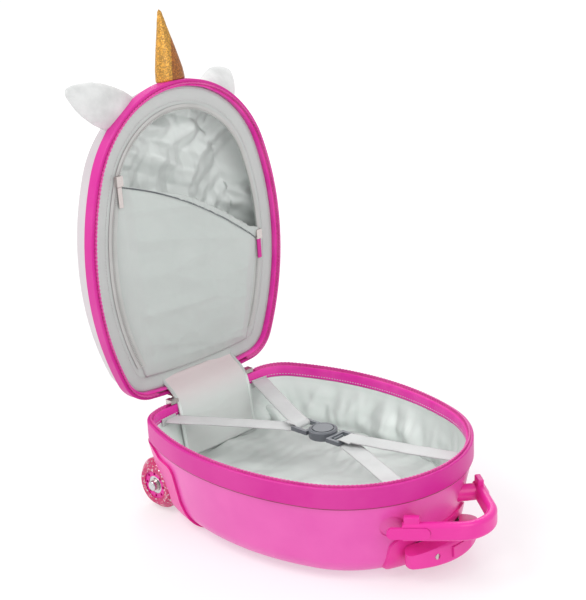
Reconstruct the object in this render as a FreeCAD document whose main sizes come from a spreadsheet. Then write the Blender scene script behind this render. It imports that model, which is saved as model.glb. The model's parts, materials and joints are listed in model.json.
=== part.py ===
import FreeCAD
import Part
import math
import os
import re
import Sketcher

V = FreeCAD.Vector
AHEAD = V(1, 0, 0)
ACROSS = V(0, 1, 0)
UP = V(0, 0, 1)
SIDES = {"left": 1, "right": -1}
TINY = 1e-6

# Driving dimensions in millimetres and degrees, by piece.
SIZES = {
    # Egg outline of the rim, handle end at +X and hinge end at -X.
    "case_length": 376.0,
    "case_width": 303.0,
    "tip_narrowing": 12.0,
    "side_drop": 186.5,
    "end_radius": 874.0,
    "floor_corner_radius": 2.2,
    # Base half: a drafted wall that turns under to a flat floor.
    "rim_height": 120.0,
    "band_height": 24.0,
    "band_wall": 3.6,
    "band_edge_radius": 1.4,
    "shell_wall": 2.5,
    "wall_top_inset": 2.0,
    "knuckle_inset": 19.5,
    "knuckle_height": 14.1,
    "knuckle_radius": 30.0,
    "floor_inset": 44.0,
    "tongue_wall": 2.4,
    "tongue_rise": 18.0,
    "lid_band_height": 15.0,
    "lid_tongue_rise": 9.0,
    "binding_wall": 2.4,
    "binding_height": 15.0,
    "chain_drop": 3.4,
    "half_zip_gap": 3.0,
    "chain_clearance": 0.2,
    "lining_gap": 0.4,
    "lining_wall": 1.0,
    "board_height": 41.5,
    "board_wall": 2.0,
    # Lid half: the same rim, then a shallow crown.
    "lid_angle": 91.0,
    "hinge_reach": 2.0,
    "crown_knee_inset": 12.0,
    "crown_knee_rise": 30.0,
    "crown_knee_radius": 18.0,
    "crown_rise": 53.0,
    # Wheels with ball bearings on stub axles.
    "wheel_radius": 32.0,
    "wheel_width": 24.0,
    "wheel_setback": 17.6,
    "wheel_inset": 40.5,
    "ground_gap": 0.2,
    "tread_flat": 7.0,
    "tread_shoulder": 8.0,
    "hub_radius": 17.3,
    "hub_width": 21.0,
    "hub_hole_radius": 1.9,
    "hub_hole_count": 8.0,
    "bearing_radius": 11.0,
    "bearing_width": 7.0,
    "bearing_space": 6.0,
    "hub_stop_radius": 9.0,
    "axle_radius": 4.0,
    "running_gap": 0.05,
    "axle_head_radius": 6.2,
    "axle_head_height": 4.0,
    "axle_end_setback": 31.0,
    "washer_radius": 8.0,
    "washer_wall": 1.0,
    "side_gap": 0.4,
    # End boot that carries the wheels.
    "boot_wall": 3.0,
    "boot_top": 94.0,
    "boot_foot": 0.4,
    "well_gap": 4.0,
    "well_wall": 2.5,
    "well_depth": 3.0,
    "boss_radius": 9.0,
    "boss_length": 17.0,
    "fit_gap": 0.3,
    "boot_front": 83.0,
    "boot_shoulder": 83.0,
    "boot_step": 51.0,
    "boot_crest": 36.0,
    "boot_toe": 102.0,
    "boot_toe_height": 36.0,
    "boot_bend_radius": 10.0,
    "boot_screw_spread": 42.0,
    "boot_screw_height": 62.0,
    "boot_screw_length": 6.0,
    # Pull-out handle: three tubes a side and a curved grip.
    "tube_height": 31.0,
    "tube_spread": 33.0,
    "outer_tube_radius": 9.0,
    "tube_wall": 1.0,
    "tube_rear_setback": 56.0,
    "tube_front_setback": 17.0,
    "stage_step": 6.0,
    "tube_foot_length": 20.0,
    "tube_foot_margin": 6.0,
    "nose_wall": 3.0,
    "nose_spread": 64.0,
    "nose_top": 50.0,
    "nose_low": 7.0,
    "nose_corner": 12.0,
    "grip_setback": 64.6,
    "grip_radius": 82.6,
    "grip_depth": 20.0,
    "grip_height": 26.0,
    "grip_angle": 97.0,
    "grip_edge_radius": 5.0,
    "grip_nose_radius": 9.0,
    "grip_crown_radius": 207.0,
    "middle_proud": 2.0,
    "tube_in_grip": 9.0,
    "button_width": 30.0,
    "button_height": 12.0,
    "button_depth": 10.0,
    "button_proud": 1.0,
    "button_travel": 2.5,
    "screw_radius": 3.2,
    "screw_length": 8.0,
    # Fixed carry bow in front of the rounded end.
    "bow_low": 57.0,
    "bow_height": 21.0,
    "bow_wall": 11.0,
    "bow_root_setback": 7.0,
    "bow_root_y": 70.0,
    "bow_front_reach": 54.0,
    "bow_front_y": 21.0,
    "bow_bend_radius": 42.0,
    "bow_edge_radius": 5.0,
    "tab_length": 17.0,
    "tab_width": 7.0,
    "tab_height": 7.0,
    "tab_step": 2.0,
    "tab_inset": 2.4,
    "tab_radius": 1.6,
    "plate_length": 46.0,
    "plate_height": 13.0,
    "plate_wall": 3.0,
    "plate_overhang": 16.0,
    "slot_depth": 2.0,
    "post_radius": 9.5,
    "recess_radius": 13.0,
    "recess_depth": 1.6,
    "recess_setback": 20.0,
    # Hinge cloths and piping.
    "piping_radius": 1.6,
    "cloth_wall": 1.2,
    "panel_half_width": 57.0,
    "panel_rise": 37.0,
    "panel_drop": 70.0,
    "panel_lean": 7.0,
    "panel_hinge_step": 12.0,
    "panel_low_step": 20.0,
    "tape_half_width": 54.0,
    "tape_drop": 16.0,
    "tape_reach": 22.0,
    "tape_lift": 0.7,
    # Packing straps and their buckle.
    "strap_height": 106.0,
    "strap_width": 22.0,
    "strap_wall": 1.6,
    "strap_rear_y": 77.0,
    "strap_front_y": 50.0,
    "strap_end_gap": 9.0,
    "buckle_y": 8.0,
    "buckle_radius": 17.0,
    "buckle_height": 9.0,
    "buckle_reach": 33.0,
    "loop_width": 30.0,
    "loop_bar": 4.0,
    "loop_height": 5.0,
    "tongue_width": 14.0,
    "tongue_height": 2.4,
    "tongue_reach": 13.0,
    "dial_radius": 12.0,
    "dial_proud": 1.5,
    "dial_height": 2.4,
    "dial_travel": 1.5,
    "anchor_wall": 3.0,
    "anchor_length": 26.0,
    "anchor_height": 14.0,
    # Zip sliders and pulls.
    "slider_length": 12.0,
    "slider_width": 9.0,
    "slider_height": 5.0,
    "slider_offset": 63.0,
    "pull_length": 24.0,
    "pull_width": 6.0,
    "pull_wall": 1.2,
    "pull_gap": 1.2,
    "pull_barrel_radius": 0.9,
    "bail_width": 4.0,
    "bail_height": 3.0,
    # Lid pocket.
    "pocket_depth": 8.0,
    "pocket_inset": 36.0,
    "pocket_tape": 12.0,
    "pocket_tape_wall": 1.0,
    "pocket_foot": 45.0,
    "pocket_high_end": 107.0,
    "pocket_middle": 146.0,
    "pocket_low_end": 219.0,
    # Stuffed horn and ears on the lid.
    "horn_length": 86.0,
    "horn_width": 42.0,
    "horn_depth": 25.0,
    "horn_lean": 7.0,
    "horn_sink": 6.0,
    "horn_rise": 13.0,
    "ear_rise": 16.0,
    "ear_length": 82.0,
    "ear_width": 52.0,
    "ear_depth": 20.0,
    "ear_bearing": 31.0,
}

doc = FreeCAD.newDocument("ride_on_suitcase")
sheet = doc.addObject("Spreadsheet::Sheet", "Sizes")
for row, (alias, number) in enumerate(SIZES.items(), start=1):
    sheet.set(f"A{row}", alias)
    sheet.set(f"B{row}", str(number))
    sheet.setAlias(f"B{row}", alias)
doc.recompute()

nodes = {}


def size(alias):
    return float(sheet.get(alias))


def bound(text):
    """Expression text with every size name pointed at the sheet."""
    return re.sub(r"\b[a-z]+(?:_[a-z]+)+\b", lambda found: "Sizes." + found.group(), text)


def bind(thing, name, text):
    thing.setExpression(name, bound(text))


def value(text):
    return float(sheet.evalExpression(bound(text)))


def node(label, thing):
    """Register a finished piece under the name of its file."""
    thing.Label = label
    nodes[label] = thing
    return thing


def turned(base, axis=UP, degrees=0.0):
    return FreeCAD.Placement(base, FreeCAD.Rotation(axis, degrees))


def feature(label, shape):
    thing = doc.addObject("Part::Feature", label + "_shape")
    thing.Shape = shape
    return node(label, thing)


# Parametric pieces

def plane(body, role):
    return next(item for item in body.Origin.OriginFeatures if item.Role == role)


def new_sketch(body, name, role):
    sketch = body.newObject("Sketcher::SketchObject", name)
    sketch.AttachmentSupport = [(plane(body, role), "")]
    sketch.MapMode = "FlatFace"
    return sketch


def pin(sketch, index, corner, pair):
    """Hold one sketch point at a pair of size expressions."""
    for kind, text in zip(("DistanceX", "DistanceY"), pair):
        row = sketch.addConstraint(Sketcher.Constraint(kind, -1, 1, index, corner, value(text)))
        sketch.setExpression(f"Constraints[{row}]", bound(text))


def polygon(body, name, role, points):
    sketch = new_sketch(body, name, role)
    corners = [V(value(first), value(second), 0) for first, second in points]
    count = len(corners)
    for index in range(count):
        sketch.addGeometry(Part.LineSegment(corners[index], corners[(index + 1) % count]), False)
    for index in range(count):
        sketch.addConstraint(Sketcher.Constraint("Coincident", index, 2, (index + 1) % count, 1))
    for index, pair in enumerate(points):
        pin(sketch, index, 1, pair)
    return sketch


def circle(body, name, role, centre, radius):
    sketch = new_sketch(body, name, role)
    middle = V(value(centre[0]), value(centre[1]), 0)
    sketch.addGeometry(Part.Circle(middle, UP, value(radius)), False)
    pin(sketch, 0, 3, centre)
    row = sketch.addConstraint(Sketcher.Constraint("Radius", 0, value(radius)))
    sketch.setExpression(f"Constraints[{row}]", bound(radius))
    return sketch


def revolved(name, points, place=None):
    """Body turned about its own Y axis from (radius, height) corners."""
    body = doc.addObject("PartDesign::Body", name + "_body")
    sketch = polygon(body, name + "_profile", "XY_Plane", points)
    turn = body.newObject("PartDesign::Revolution", name + "_turn")
    turn.Profile = sketch
    turn.ReferenceAxis = (sketch, ["V_Axis"])
    turn.Angle = 360
    doc.recompute()
    if place:
        body.Placement = place
    return body


def padded(name, role, points, length, place=None):
    body = doc.addObject("PartDesign::Body", name + "_body")
    sketch = polygon(body, name + "_outline", role, points)
    pad = body.newObject("PartDesign::Pad", name + "_pad")
    pad.Profile = sketch
    bind(pad, "Length", length)
    doc.recompute()
    if place:
        body.Placement = place
    return body


def softened(body, radius, chosen):
    """Round the edges of a body that pass the given test."""
    base = body.Tip
    names = [f"Edge{index}" for index, edge in enumerate(base.Shape.Edges, 1) if chosen(edge)]
    fillet = body.newObject("PartDesign::Fillet", body.Name + "_round")
    fillet.Base = (base, names)
    bind(fillet, "Radius", radius)
    doc.recompute()
    return body


def box(name, extents, place):
    thing = doc.addObject("Part::Box", name + "_box")
    for side, text in zip(("Length", "Width", "Height"), extents):
        bind(thing, side, text)
    thing.Placement = place
    return thing


def cylinder(name, radius, height, place):
    thing = doc.addObject("Part::Cylinder", name + "_round")
    bind(thing, "Radius", radius)
    bind(thing, "Height", height)
    thing.Placement = place
    return thing


def joined(name, pieces):
    thing = doc.addObject("Part::MultiFuse", name + "_union")
    thing.Shapes = pieces
    return thing


def cut(name, base, tools):
    thing = doc.addObject("Part::Cut", name + "_cut")
    thing.Base = base
    thing.Tool = tools[0] if len(tools) == 1 else joined(name + "_tools", tools)
    return thing


def grouped(label, pieces):
    thing = doc.addObject("Part::Compound", label + "_group")
    thing.Links = pieces
    return node(label, thing)


def along(axis_start, direction):
    """Placement that carries +Z to the given direction."""
    return FreeCAD.Placement(axis_start, FreeCAD.Rotation(UP, direction))


# Egg outline: tangent arcs with vertical axes, so a wall is a set of turned sectors

def egg_arcs():
    """Centre, radius, start and sweep of each arc, counter-clockwise from the tip."""
    length, width = size("case_length"), size("case_width")
    drop, end = size("side_drop"), size("end_radius")
    tip = width / 2 - size("tip_narrowing")
    side = width / 2 + drop
    corner = size("floor_corner_radius") + size("floor_inset")
    tip_at = V(length / 2 - tip, 0, 0)
    end_at = V(end - length / 2, 0, 0)
    side_at = V(tip_at.x - math.sqrt((side - tip) ** 2 - drop ** 2), -drop, 0)
    span = end_at - side_at
    reach, other = side - corner, end - corner
    foot = (reach ** 2 - other ** 2 + span.Length ** 2) / (2 * span.Length)
    lift = math.sqrt(reach ** 2 - foot ** 2)
    unit = span / span.Length
    corner_at = side_at + unit * foot + V(-unit.y, unit.x, 0) * lift
    first = math.atan2(tip_at.y - side_at.y, tip_at.x - side_at.x)
    second = math.atan2(corner_at.y - side_at.y, corner_at.x - side_at.x)
    third = math.atan2(corner_at.y - end_at.y, corner_at.x - end_at.x)

    def flip(point):
        return V(point.x, -point.y, 0)

    return [
        (tip_at, tip, -first, 2 * first),
        (side_at, side, first, second - first),
        (corner_at, corner, second, third - second),
        (end_at, end, third, 2 * (math.pi - third)),
        (flip(corner_at), corner, -third, third - second),
        (flip(side_at), side, -second, second - first),
    ]


ARCS = egg_arcs()


def polar(centre, radius, angle, height=0.0):
    return V(centre.x + radius * math.cos(angle), centre.y + radius * math.sin(angle), height)


def rounded_edges(points, spot):
    """Edges of a closed outline whose corners (u, v, radius) may be rounded."""
    flat = [(V(item[0], item[1], 0), item[2] if len(item) > 2 else 0.0) for item in points]
    stops = []
    for index, (here, radius) in enumerate(flat):
        if not radius:
            stops.append((here, None, here))
            continue
        before = (flat[index - 1][0] - here).normalize()
        after = (flat[(index + 1) % len(flat)][0] - here).normalize()
        half = before.getAngle(after) / 2
        reach = radius / math.tan(half)
        inward = (before + after).normalize()
        middle = here + inward * (radius / math.sin(half) - radius)
        stops.append((here + before * reach, middle, here + after * reach))
    edges = []
    for index, (start, middle, end) in enumerate(stops):
        if middle:
            edges.append(Part.Arc(spot(start), spot(middle), spot(end)).toShape())
        following = stops[(index + 1) % len(stops)][0]
        edges.append(Part.LineSegment(spot(end), spot(following)).toShape())
    return edges


def ring(points):
    """Closed wall whose section is given in (inset from the rim outline, height)."""
    sectors = []
    for centre, radius, start, sweep in ARCS:
        edges = rounded_edges(points, lambda at: polar(centre, radius - at.x, start, at.y))
        face = Part.Face(Part.Wire(edges))
        sectors.append(face.revolve(centre, UP, math.degrees(sweep)))
    return sectors[0].multiFuse(sectors[1:]).removeSplitter()


def slab(inset, low, high):
    """Flat plate with the egg outline drawn in by an inset."""
    edges = []
    for centre, radius, start, sweep in ARCS:
        stops = [polar(centre, radius - inset, start + sweep * part, low) for part in (0, 0.5, 1)]
        edges.append(Part.Arc(*stops).toShape())
    return Part.Face(Part.Wire(edges)).extrude(UP * (high - low))


def filled(points):
    """Solid inside an open wall section that starts on the flat core."""
    core = size("floor_inset")
    first, last = points[0][1], points[-1][1]
    middle = slab(core, min(first, last), max(first, last))
    return ring(points + [(core, last)]).fuse(middle).removeSplitter()


def prism(points, spot, way):
    """Rounded outline pushed along a direction."""
    return Part.Face(Part.Wire(rounded_edges(points, spot))).extrude(way)


def crossing(first, first_way, second, second_way):
    """Point where two section lines meet."""
    spread = first_way[0] * second_way[1] - first_way[1] * second_way[0]
    gap = (second[0] - first[0], second[1] - first[1])
    step = (gap[0] * second_way[1] - gap[1] * second_way[0]) / spread
    return (first[0] + first_way[0] * step, first[1] + first_way[1] * step)


def shifted_wall(corners, distance):
    """Three-corner wall line moved towards the inside, its ends kept at their heights."""
    (x0, y0), (x1, y1), (x2, y2) = corners
    lines = []
    for ax, ay, bx, by in ((x0, y0, x1, y1), (x1, y1, x2, y2)):
        way = (bx - ax, by - ay)
        long = math.hypot(*way)
        lift = 1 if y2 > y0 else -1
        lines.append(((ax + way[1] / long * distance * lift, ay - way[0] / long * distance * lift), way))
    level = (1.0, 0.0)
    low = crossing(lines[0][0], lines[0][1], (0, y0 + distance * (1 if y2 > y0 else -1)), level)
    knee = crossing(lines[0][0], lines[0][1], lines[1][0], lines[1][1])
    top = crossing(lines[1][0], lines[1][1], (0, y2), level)
    return [low, knee, top]


RIM = size("rim_height")
BAND_LOW = RIM - size("band_height")
HINGE = V(-size("case_length") / 2 - size("hinge_reach"), 0, RIM + size("half_zip_gap"))
LID_RIM = RIM + 2 * size("half_zip_gap")
LID_BAND_TOP = LID_RIM + size("lid_band_height")
LID_TOP = LID_BAND_TOP + size("crown_rise")
TONGUE_IN = size("band_wall") + size("tongue_wall")
BINDING_IN = TONGUE_IN + size("binding_wall")
BASE_WALL = [
    (size("floor_inset"), 0.0),
    (size("knuckle_inset"), size("knuckle_height")),
    (size("wall_top_inset"), BAND_LOW),
]
LID_WALL = [
    (size("floor_inset"), LID_TOP),
    (size("crown_knee_inset"), LID_BAND_TOP + size("crown_knee_rise")),
    (size("wall_top_inset"), LID_BAND_TOP),
]


def opened(thing):
    """Swing a lid piece from its closed place to the open lid."""
    swing = FreeCAD.Placement(V(0, 0, 0), FreeCAD.Rotation(ACROSS, -size("lid_angle")), HINGE)
    thing.Placement = swing.multiply(thing.Placement)
    return thing


def skin_section(wall, knee_radius, distance):
    """Layer between a wall line and the same line moved in, or out if negative."""
    other = shifted_wall(wall, distance)
    return [
        wall[0],
        (*wall[1], knee_radius),
        wall[2],
        other[2],
        (*other[1], knee_radius - distance),
        other[0],
    ]


def wall_section(wall, knee_radius, tongue):
    """Shell section: outer line, tongue behind the rim band, inner line."""
    inner = shifted_wall(wall, size("shell_wall"))
    band_end = wall[2][1]
    tongue_end = band_end + tongue
    foot = crossing(inner[1], (inner[2][0] - inner[1][0], inner[2][1] - inner[1][1]), (TONGUE_IN, 0), (0, 1))
    return [
        wall[0],
        (*wall[1], knee_radius),
        wall[2],
        (size("band_wall"), band_end),
        (size("band_wall"), tongue_end),
        (TONGUE_IN, tongue_end),
        foot,
        (*inner[1], knee_radius - size("shell_wall")),
        inner[0],
        (wall[0][0], inner[0][1]),
    ]


def band_section(rim, low):
    edge = size("band_edge_radius")
    return [(0, low, edge), (0, rim, edge), (size("band_wall"), rim), (size("band_wall"), low)]


def binding_section(rim, lift):
    low = rim - lift * size("binding_height")
    edge = size("band_edge_radius")
    top = rim - lift * size("band_edge_radius")
    return [(TONGUE_IN, low), (TONGUE_IN, top), (BINDING_IN, top, edge / 2), (BINDING_IN, low)]


def chain_section(rim, lift):
    low = rim - lift * size("chain_drop")
    top = rim + lift * (size("half_zip_gap") - size("chain_clearance"))
    return [(size("band_wall"), low), (size("band_wall"), top), (TONGUE_IN, top), (TONGUE_IN, low)]


def zip_chain(rim, lift):
    """Chain half all round the rim except across the cloth hinge."""
    half = size("slider_offset") + size("slider_length")
    corner = V(-size("case_length"), -half, rim - size("band_height"))
    gap = Part.makeBox(size("case_length"), 2 * half, 2 * size("band_height"), corner)
    return ring(chain_section(rim, lift)).cut(gap)


# Wheel places and the round wells around them

WHEEL_Z = size("wheel_radius") + size("ground_gap")
WHEEL_FACE = size("case_width") / 2 - size("wheel_inset")
WHEEL_MID = WHEEL_FACE - size("wheel_width") / 2
WELL_FLOOR = WHEEL_FACE - size("wheel_width") - size("well_depth")


def wheel_spot(side, across=None):
    along_x = size("wheel_setback") - size("case_length") / 2
    return V(along_x, side * (WHEEL_MID if across is None else across), WHEEL_Z)


def well(side, growth, deeper):
    """Round pocket about a wheel, open to the outside."""
    radius = size("wheel_radius") + size("well_gap") + growth
    start = wheel_spot(side, WELL_FLOOR - deeper)
    return Part.makeCylinder(radius, size("case_width") / 2, start, ACROSS * side)


def boss(side, growth):
    start = wheel_spot(side, WELL_FLOOR - size("boss_length"))
    return Part.makeCylinder(size("boss_radius") + growth, size("boss_length"), start, ACROSS * side)


def axle_bore(side):
    start = wheel_spot(side, WELL_FLOOR - size("case_width") / 4)
    radius = size("axle_radius") + size("running_gap")
    return Part.makeCylinder(radius, size("case_width") / 2, start, ACROSS * side)


def tube_bore(side, radius):
    start = V(0, side * size("tube_spread"), size("tube_height"))
    return Part.makeCylinder(radius, size("case_length"), start, AHEAD)


BOW_ROOT = "(case_length / 2 - bow_root_setback)"
BOW_FRONT = "(case_length / 2 + bow_front_reach)"


def bow_way(side):
    """Plan direction of a bow arm from its root towards the front."""
    across = side * (size("bow_front_y") - size("bow_root_y"))
    return V(value(BOW_FRONT) - value(BOW_ROOT), across, 0).normalize()


def bow_inward(side):
    """Plan direction from a bow arm's outer face towards the shell."""
    way = bow_way(side)
    return V(way.y * side, -way.x * side, 0)


def bow_root(side, step=0.0, inward=0.0, lift=0.0):
    middle = size("bow_low") + size("bow_height") / 2
    start = V(value(BOW_ROOT), side * size("bow_root_y"), middle + lift)
    return start + bow_way(side) * step + bow_inward(side) * inward


def post(side, radius, start, length):
    return Part.makeCylinder(radius, length, bow_root(side, size("post_radius"), start), bow_inward(side))


def recess(side):
    """Round dent in the shell beyond the root of a bow arm."""
    middle = bow_root(side, size("post_radius") - size("recess_setback"))
    skin = ring(skin_section(BASE_WALL, size("knuckle_radius"), size("recess_depth")))
    length = size("case_length") / 4
    return Part.makeCylinder(size("recess_radius"), length, middle, bow_inward(side)).common(skin)


def wall_inset(distance, height):
    """Inset of the straight base wall, moved in by a distance, at a height."""
    _, knee, top = shifted_wall(BASE_WALL, distance)
    return knee[0] + (top[0] - knee[0]) * (height - knee[1]) / (top[1] - knee[1])


def wall_height(distance, inset):
    _, knee, top = shifted_wall(BASE_WALL, distance)
    return knee[1] + (top[1] - knee[1]) * (inset - knee[0]) / (top[0] - knee[0])


def boot_screw_start(side):
    across = side * size("boot_screw_spread")
    inset = wall_inset(-size("boot_wall"), size("boot_screw_height"))
    reach = math.sqrt((size("end_radius") - inset) ** 2 - across ** 2)
    proud = size("washer_wall")
    return V(size("end_radius") - size("case_length") / 2 - reach - proud, across, size("boot_screw_height"))


def boot_screw_hole(side):
    radius = size("screw_radius") + size("running_gap")
    return Part.makeCylinder(radius, size("screw_length"), boot_screw_start(side), AHEAD)


# Base half

KNUCKLE = size("knuckle_radius")
FAR = size("case_length")
fit = size("fit_gap")
base_floor = slab(size("floor_inset"), 0.0, size("shell_wall"))
base_shell = ring(wall_section(BASE_WALL, KNUCKLE, size("tongue_rise"))).fuse(base_floor)
for side in SIDES.values():
    base_shell = base_shell.cut(well(side, size("well_wall") + fit, size("well_wall") + fit))
    base_shell = base_shell.cut(boss(side, fit))
    base_shell = base_shell.cut(tube_bore(side, size("outer_tube_radius") + fit))
    base_shell = base_shell.cut(recess(side))
    base_shell = base_shell.cut(boot_screw_hole(side))
feature("base_shell", base_shell.removeSplitter())
feature("base_band", ring(band_section(RIM, BAND_LOW)))
feature("base_binding", ring(binding_section(RIM, 1)))
feature("base_zip_chain", zip_chain(RIM, 1))


def tray(distance, floor, edge, growth):
    """Inside of the base above a floor, clear of both wheel wells."""
    upright = TONGUE_IN + distance - size("shell_wall")
    solid = filled([
        (size("floor_inset"), floor),
        (wall_inset(distance, floor), floor),
        (upright, wall_height(distance, upright)),
        (upright, edge),
    ])
    for side in SIDES.values():
        solid = solid.cut(well(side, growth, growth))
    return solid


LINING_OUT = size("shell_wall") + size("lining_gap")
LINING_IN = LINING_OUT + size("lining_wall")
BOARD_TOP = size("board_height") + size("board_wall")
LINING_EDGE = RIM - size("binding_height") - size("fit_gap")
WELL_SKIN = size("well_wall") + 2 * fit
lining = tray(LINING_OUT, BOARD_TOP + fit, LINING_EDGE, WELL_SKIN)
hollow = tray(LINING_IN, BOARD_TOP + fit + size("lining_wall"), RIM, WELL_SKIN + size("lining_wall"))
feature("base_lining", lining.cut(hollow))

board = slab(wall_inset(LINING_OUT, size("board_height")), size("board_height"), BOARD_TOP)
for side in SIDES.values():
    board = board.cut(well(side, WELL_SKIN, WELL_SKIN))
feature("floor_board", board)

# End boot: a skin over the hinge end with a cup and an axle boss for each wheel

END = -FAR / 2
boot_outline = [
    (-FAR, size("boot_foot")),
    (END + size("boot_toe"), size("boot_foot")),
    (END + size("boot_front"), size("boot_toe_height"), size("boot_bend_radius")),
    (END + size("boot_front"), size("boot_shoulder"), size("boot_bend_radius")),
    (END + size("boot_step"), size("boot_shoulder"), size("boot_bend_radius")),
    (END + size("boot_crest"), size("boot_top"), size("boot_bend_radius")),
    (-FAR, size("boot_top")),
]
boot_region = prism(boot_outline, lambda at: V(at.x, -FAR, at.y), ACROSS * 2 * FAR)
base_outside = filled([BASE_WALL[0], (*BASE_WALL[1], KNUCKLE), BASE_WALL[2]])
boot = ring(skin_section(BASE_WALL, KNUCKLE, -size("boot_wall")))
for side in SIDES.values():
    cup = well(side, size("well_wall"), size("well_wall")).common(base_outside)
    boot = boot.fuse(cup).fuse(boss(side, 0.0))
boot = boot.common(boot_region)
for side in SIDES.values():
    boot = boot.cut(well(side, 0.0, 0.0)).cut(axle_bore(side))


boot_screws = []
for name, side in SIDES.items():
    place = along(boot_screw_start(side), AHEAD)
    boot_screws.append(cylinder(f"boot_screw_{name}", "screw_radius", "boot_screw_length", place))
    boot = boot.cut(boot_screw_hole(side))
feature("end_boot", boot.removeSplitter())
grouped("boot_screws", boot_screws)

# Wheels, bearings and stub axles

HALF_HUB = "hub_width / 2"
HALF_WHEEL = "wheel_width / 2"
BEARING_OUT = "(bearing_space / 2 + bearing_width)"


def wheel(name, side):
    spot = turned(wheel_spot(side))
    tyre = revolved(f"tyre_{name}", [
        ("hub_radius", f"-{HALF_WHEEL}"),
        ("wheel_radius - tread_shoulder", f"-{HALF_WHEEL}"),
        ("wheel_radius", "-tread_flat / 2"),
        ("wheel_radius", "tread_flat / 2"),
        ("wheel_radius - tread_shoulder", HALF_WHEEL),
        ("hub_radius", HALF_WHEEL),
    ])
    softened(tyre, "tread_flat", lambda edge: getattr(edge.Curve, "Radius", 0.0) == size("wheel_radius"))
    tyre.Placement = spot
    node(f"tyre_{name}", tyre)

    hub = revolved(f"hub_{name}", [
        ("bearing_radius", f"-{HALF_HUB}"),
        ("hub_radius", f"-{HALF_HUB}"),
        ("hub_radius", HALF_HUB),
        ("bearing_radius", HALF_HUB),
        ("bearing_radius", "bearing_space / 2"),
        ("hub_stop_radius", "bearing_space / 2"),
        ("hub_stop_radius", "-bearing_space / 2"),
        ("bearing_radius", "-bearing_space / 2"),
    ])
    hole_at = ("(hub_radius + bearing_radius) / 2", "0")
    spoke = circle(hub, f"hub_{name}_hole", "XZ_Plane", hole_at, "hub_hole_radius")
    drill = hub.newObject("PartDesign::Pocket", f"hub_{name}_drill")
    drill.Profile = spoke
    drill.Type = "ThroughAll"
    drill.Midplane = True
    pattern = hub.newObject("PartDesign::PolarPattern", f"hub_{name}_holes")
    pattern.Originals = [drill]
    pattern.Axis = (spoke, ["N_Axis"])
    pattern.Angle = 360
    pattern.Occurrences = int(size("hub_hole_count"))
    hub.Tip = pattern
    hub.Placement = spot
    node(f"wheel_hub_{name}", hub)

    races = []
    for end, way in (("inner", -1), ("outer", 1)):
        low = f"{way} * bearing_space / 2"
        high = f"{way} * {BEARING_OUT}"
        races.append(revolved(f"bearing_{name}_{end}", [
            ("axle_radius + running_gap", low),
            ("bearing_radius", low),
            ("bearing_radius", high),
            ("axle_radius + running_gap", high),
        ], spot))
    grouped(f"bearings_{name}", races)

    facing = turned(wheel_spot(side), UP, 0 if side > 0 else 180)
    shoulder = f"-{BEARING_OUT} - side_gap"
    seat = f"-{HALF_WHEEL} - well_depth"
    head = f"{BEARING_OUT} + side_gap + washer_wall"
    node(f"axle_{name}", revolved(f"axle_{name}", [
        ("0", "-axle_end_setback"),
        ("axle_radius", "-axle_end_setback"),
        ("axle_radius", seat),
        ("axle_head_radius", seat),
        ("axle_head_radius", shoulder),
        ("axle_radius", shoulder),
        ("axle_radius", head),
        ("axle_head_radius", head),
        ("axle_head_radius", f"{head} + axle_head_height"),
        ("0", f"{head} + axle_head_height"),
    ], facing))
    return revolved(f"washer_{name}", [
        ("axle_radius + running_gap", f"{BEARING_OUT} + side_gap"),
        ("washer_radius", f"{BEARING_OUT} + side_gap"),
        ("washer_radius", head),
        ("axle_radius + running_gap", head),
    ], facing)


grouped("axle_washers", [wheel(name, side) for name, side in SIDES.items()])

# Pull-out handle

GRIP_INSIDE = "sqrt((grip_radius - grip_depth) ^ 2 - tube_spread ^ 2)"
GRIP_MIDDLE = "(case_length / 2 - grip_setback)"
TUBE_REAR = "(tube_rear_setback - case_length / 2)"
TUBE_FRONT = "(case_length / 2 - tube_front_setback)"
STAGES = {
    "outer": (TUBE_REAR, TUBE_FRONT),
    "middle": (f"stage_step + {TUBE_REAR}", f"{TUBE_FRONT} + middle_proud"),
    "inner": (f"2 * stage_step + {TUBE_REAR}", f"{GRIP_MIDDLE} + {GRIP_INSIDE} + tube_in_grip"),
}


def stage_radius(stage):
    step = list(STAGES).index(stage)
    return f"(outer_tube_radius - {step} * (tube_wall + running_gap))"


for name, side in SIDES.items():
    for stage, (rear, front) in STAGES.items():
        radius = stage_radius(stage)
        lying = turned(V(0, side * size("tube_spread"), size("tube_height")), UP, -90)
        node(f"{stage}_tube_{name}", revolved(f"{stage}_tube_{name}", [
            (f"{radius} - tube_wall", rear),
            (radius, rear),
            (radius, front),
            (f"{radius} - tube_wall", front),
        ], lying))

foot_corner = V(value(TUBE_REAR) - size("tube_foot_margin"),
                -size("tube_spread") - size("outer_tube_radius") - size("tube_foot_margin"), size("shell_wall"))
foot = box("tube_foot", ("tube_foot_length", "2 * (tube_spread + outer_tube_radius + tube_foot_margin)",
                         "board_height - shell_wall"), turned(foot_corner))
foot_bores = []
for name, side in SIDES.items():
    start = V(value(TUBE_REAR), side * size("tube_spread"), size("tube_height"))
    place = along(start, AHEAD)
    foot_bores.append(cylinder(f"foot_bore_{name}", "outer_tube_radius", "tube_foot_length", place))
node("tube_foot", cut("tube_foot", foot, foot_bores))

nose_outline = [
    (-size("nose_spread"), size("nose_low"), size("nose_corner")),
    (size("nose_spread"), size("nose_low"), size("nose_corner")),
    (size("nose_spread"), size("nose_top"), size("nose_corner")),
    (-size("nose_spread"), size("nose_top"), size("nose_corner")),
]
nose = ring(skin_section(BASE_WALL, KNUCKLE, -size("nose_wall")))
nose = nose.common(prism(nose_outline, lambda at: V(0, at.x, at.y), AHEAD * FAR))
for side in SIDES.values():
    nose = nose.cut(tube_bore(side, size("outer_tube_radius") + size("running_gap")))
feature("nose_plate", nose)

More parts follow.
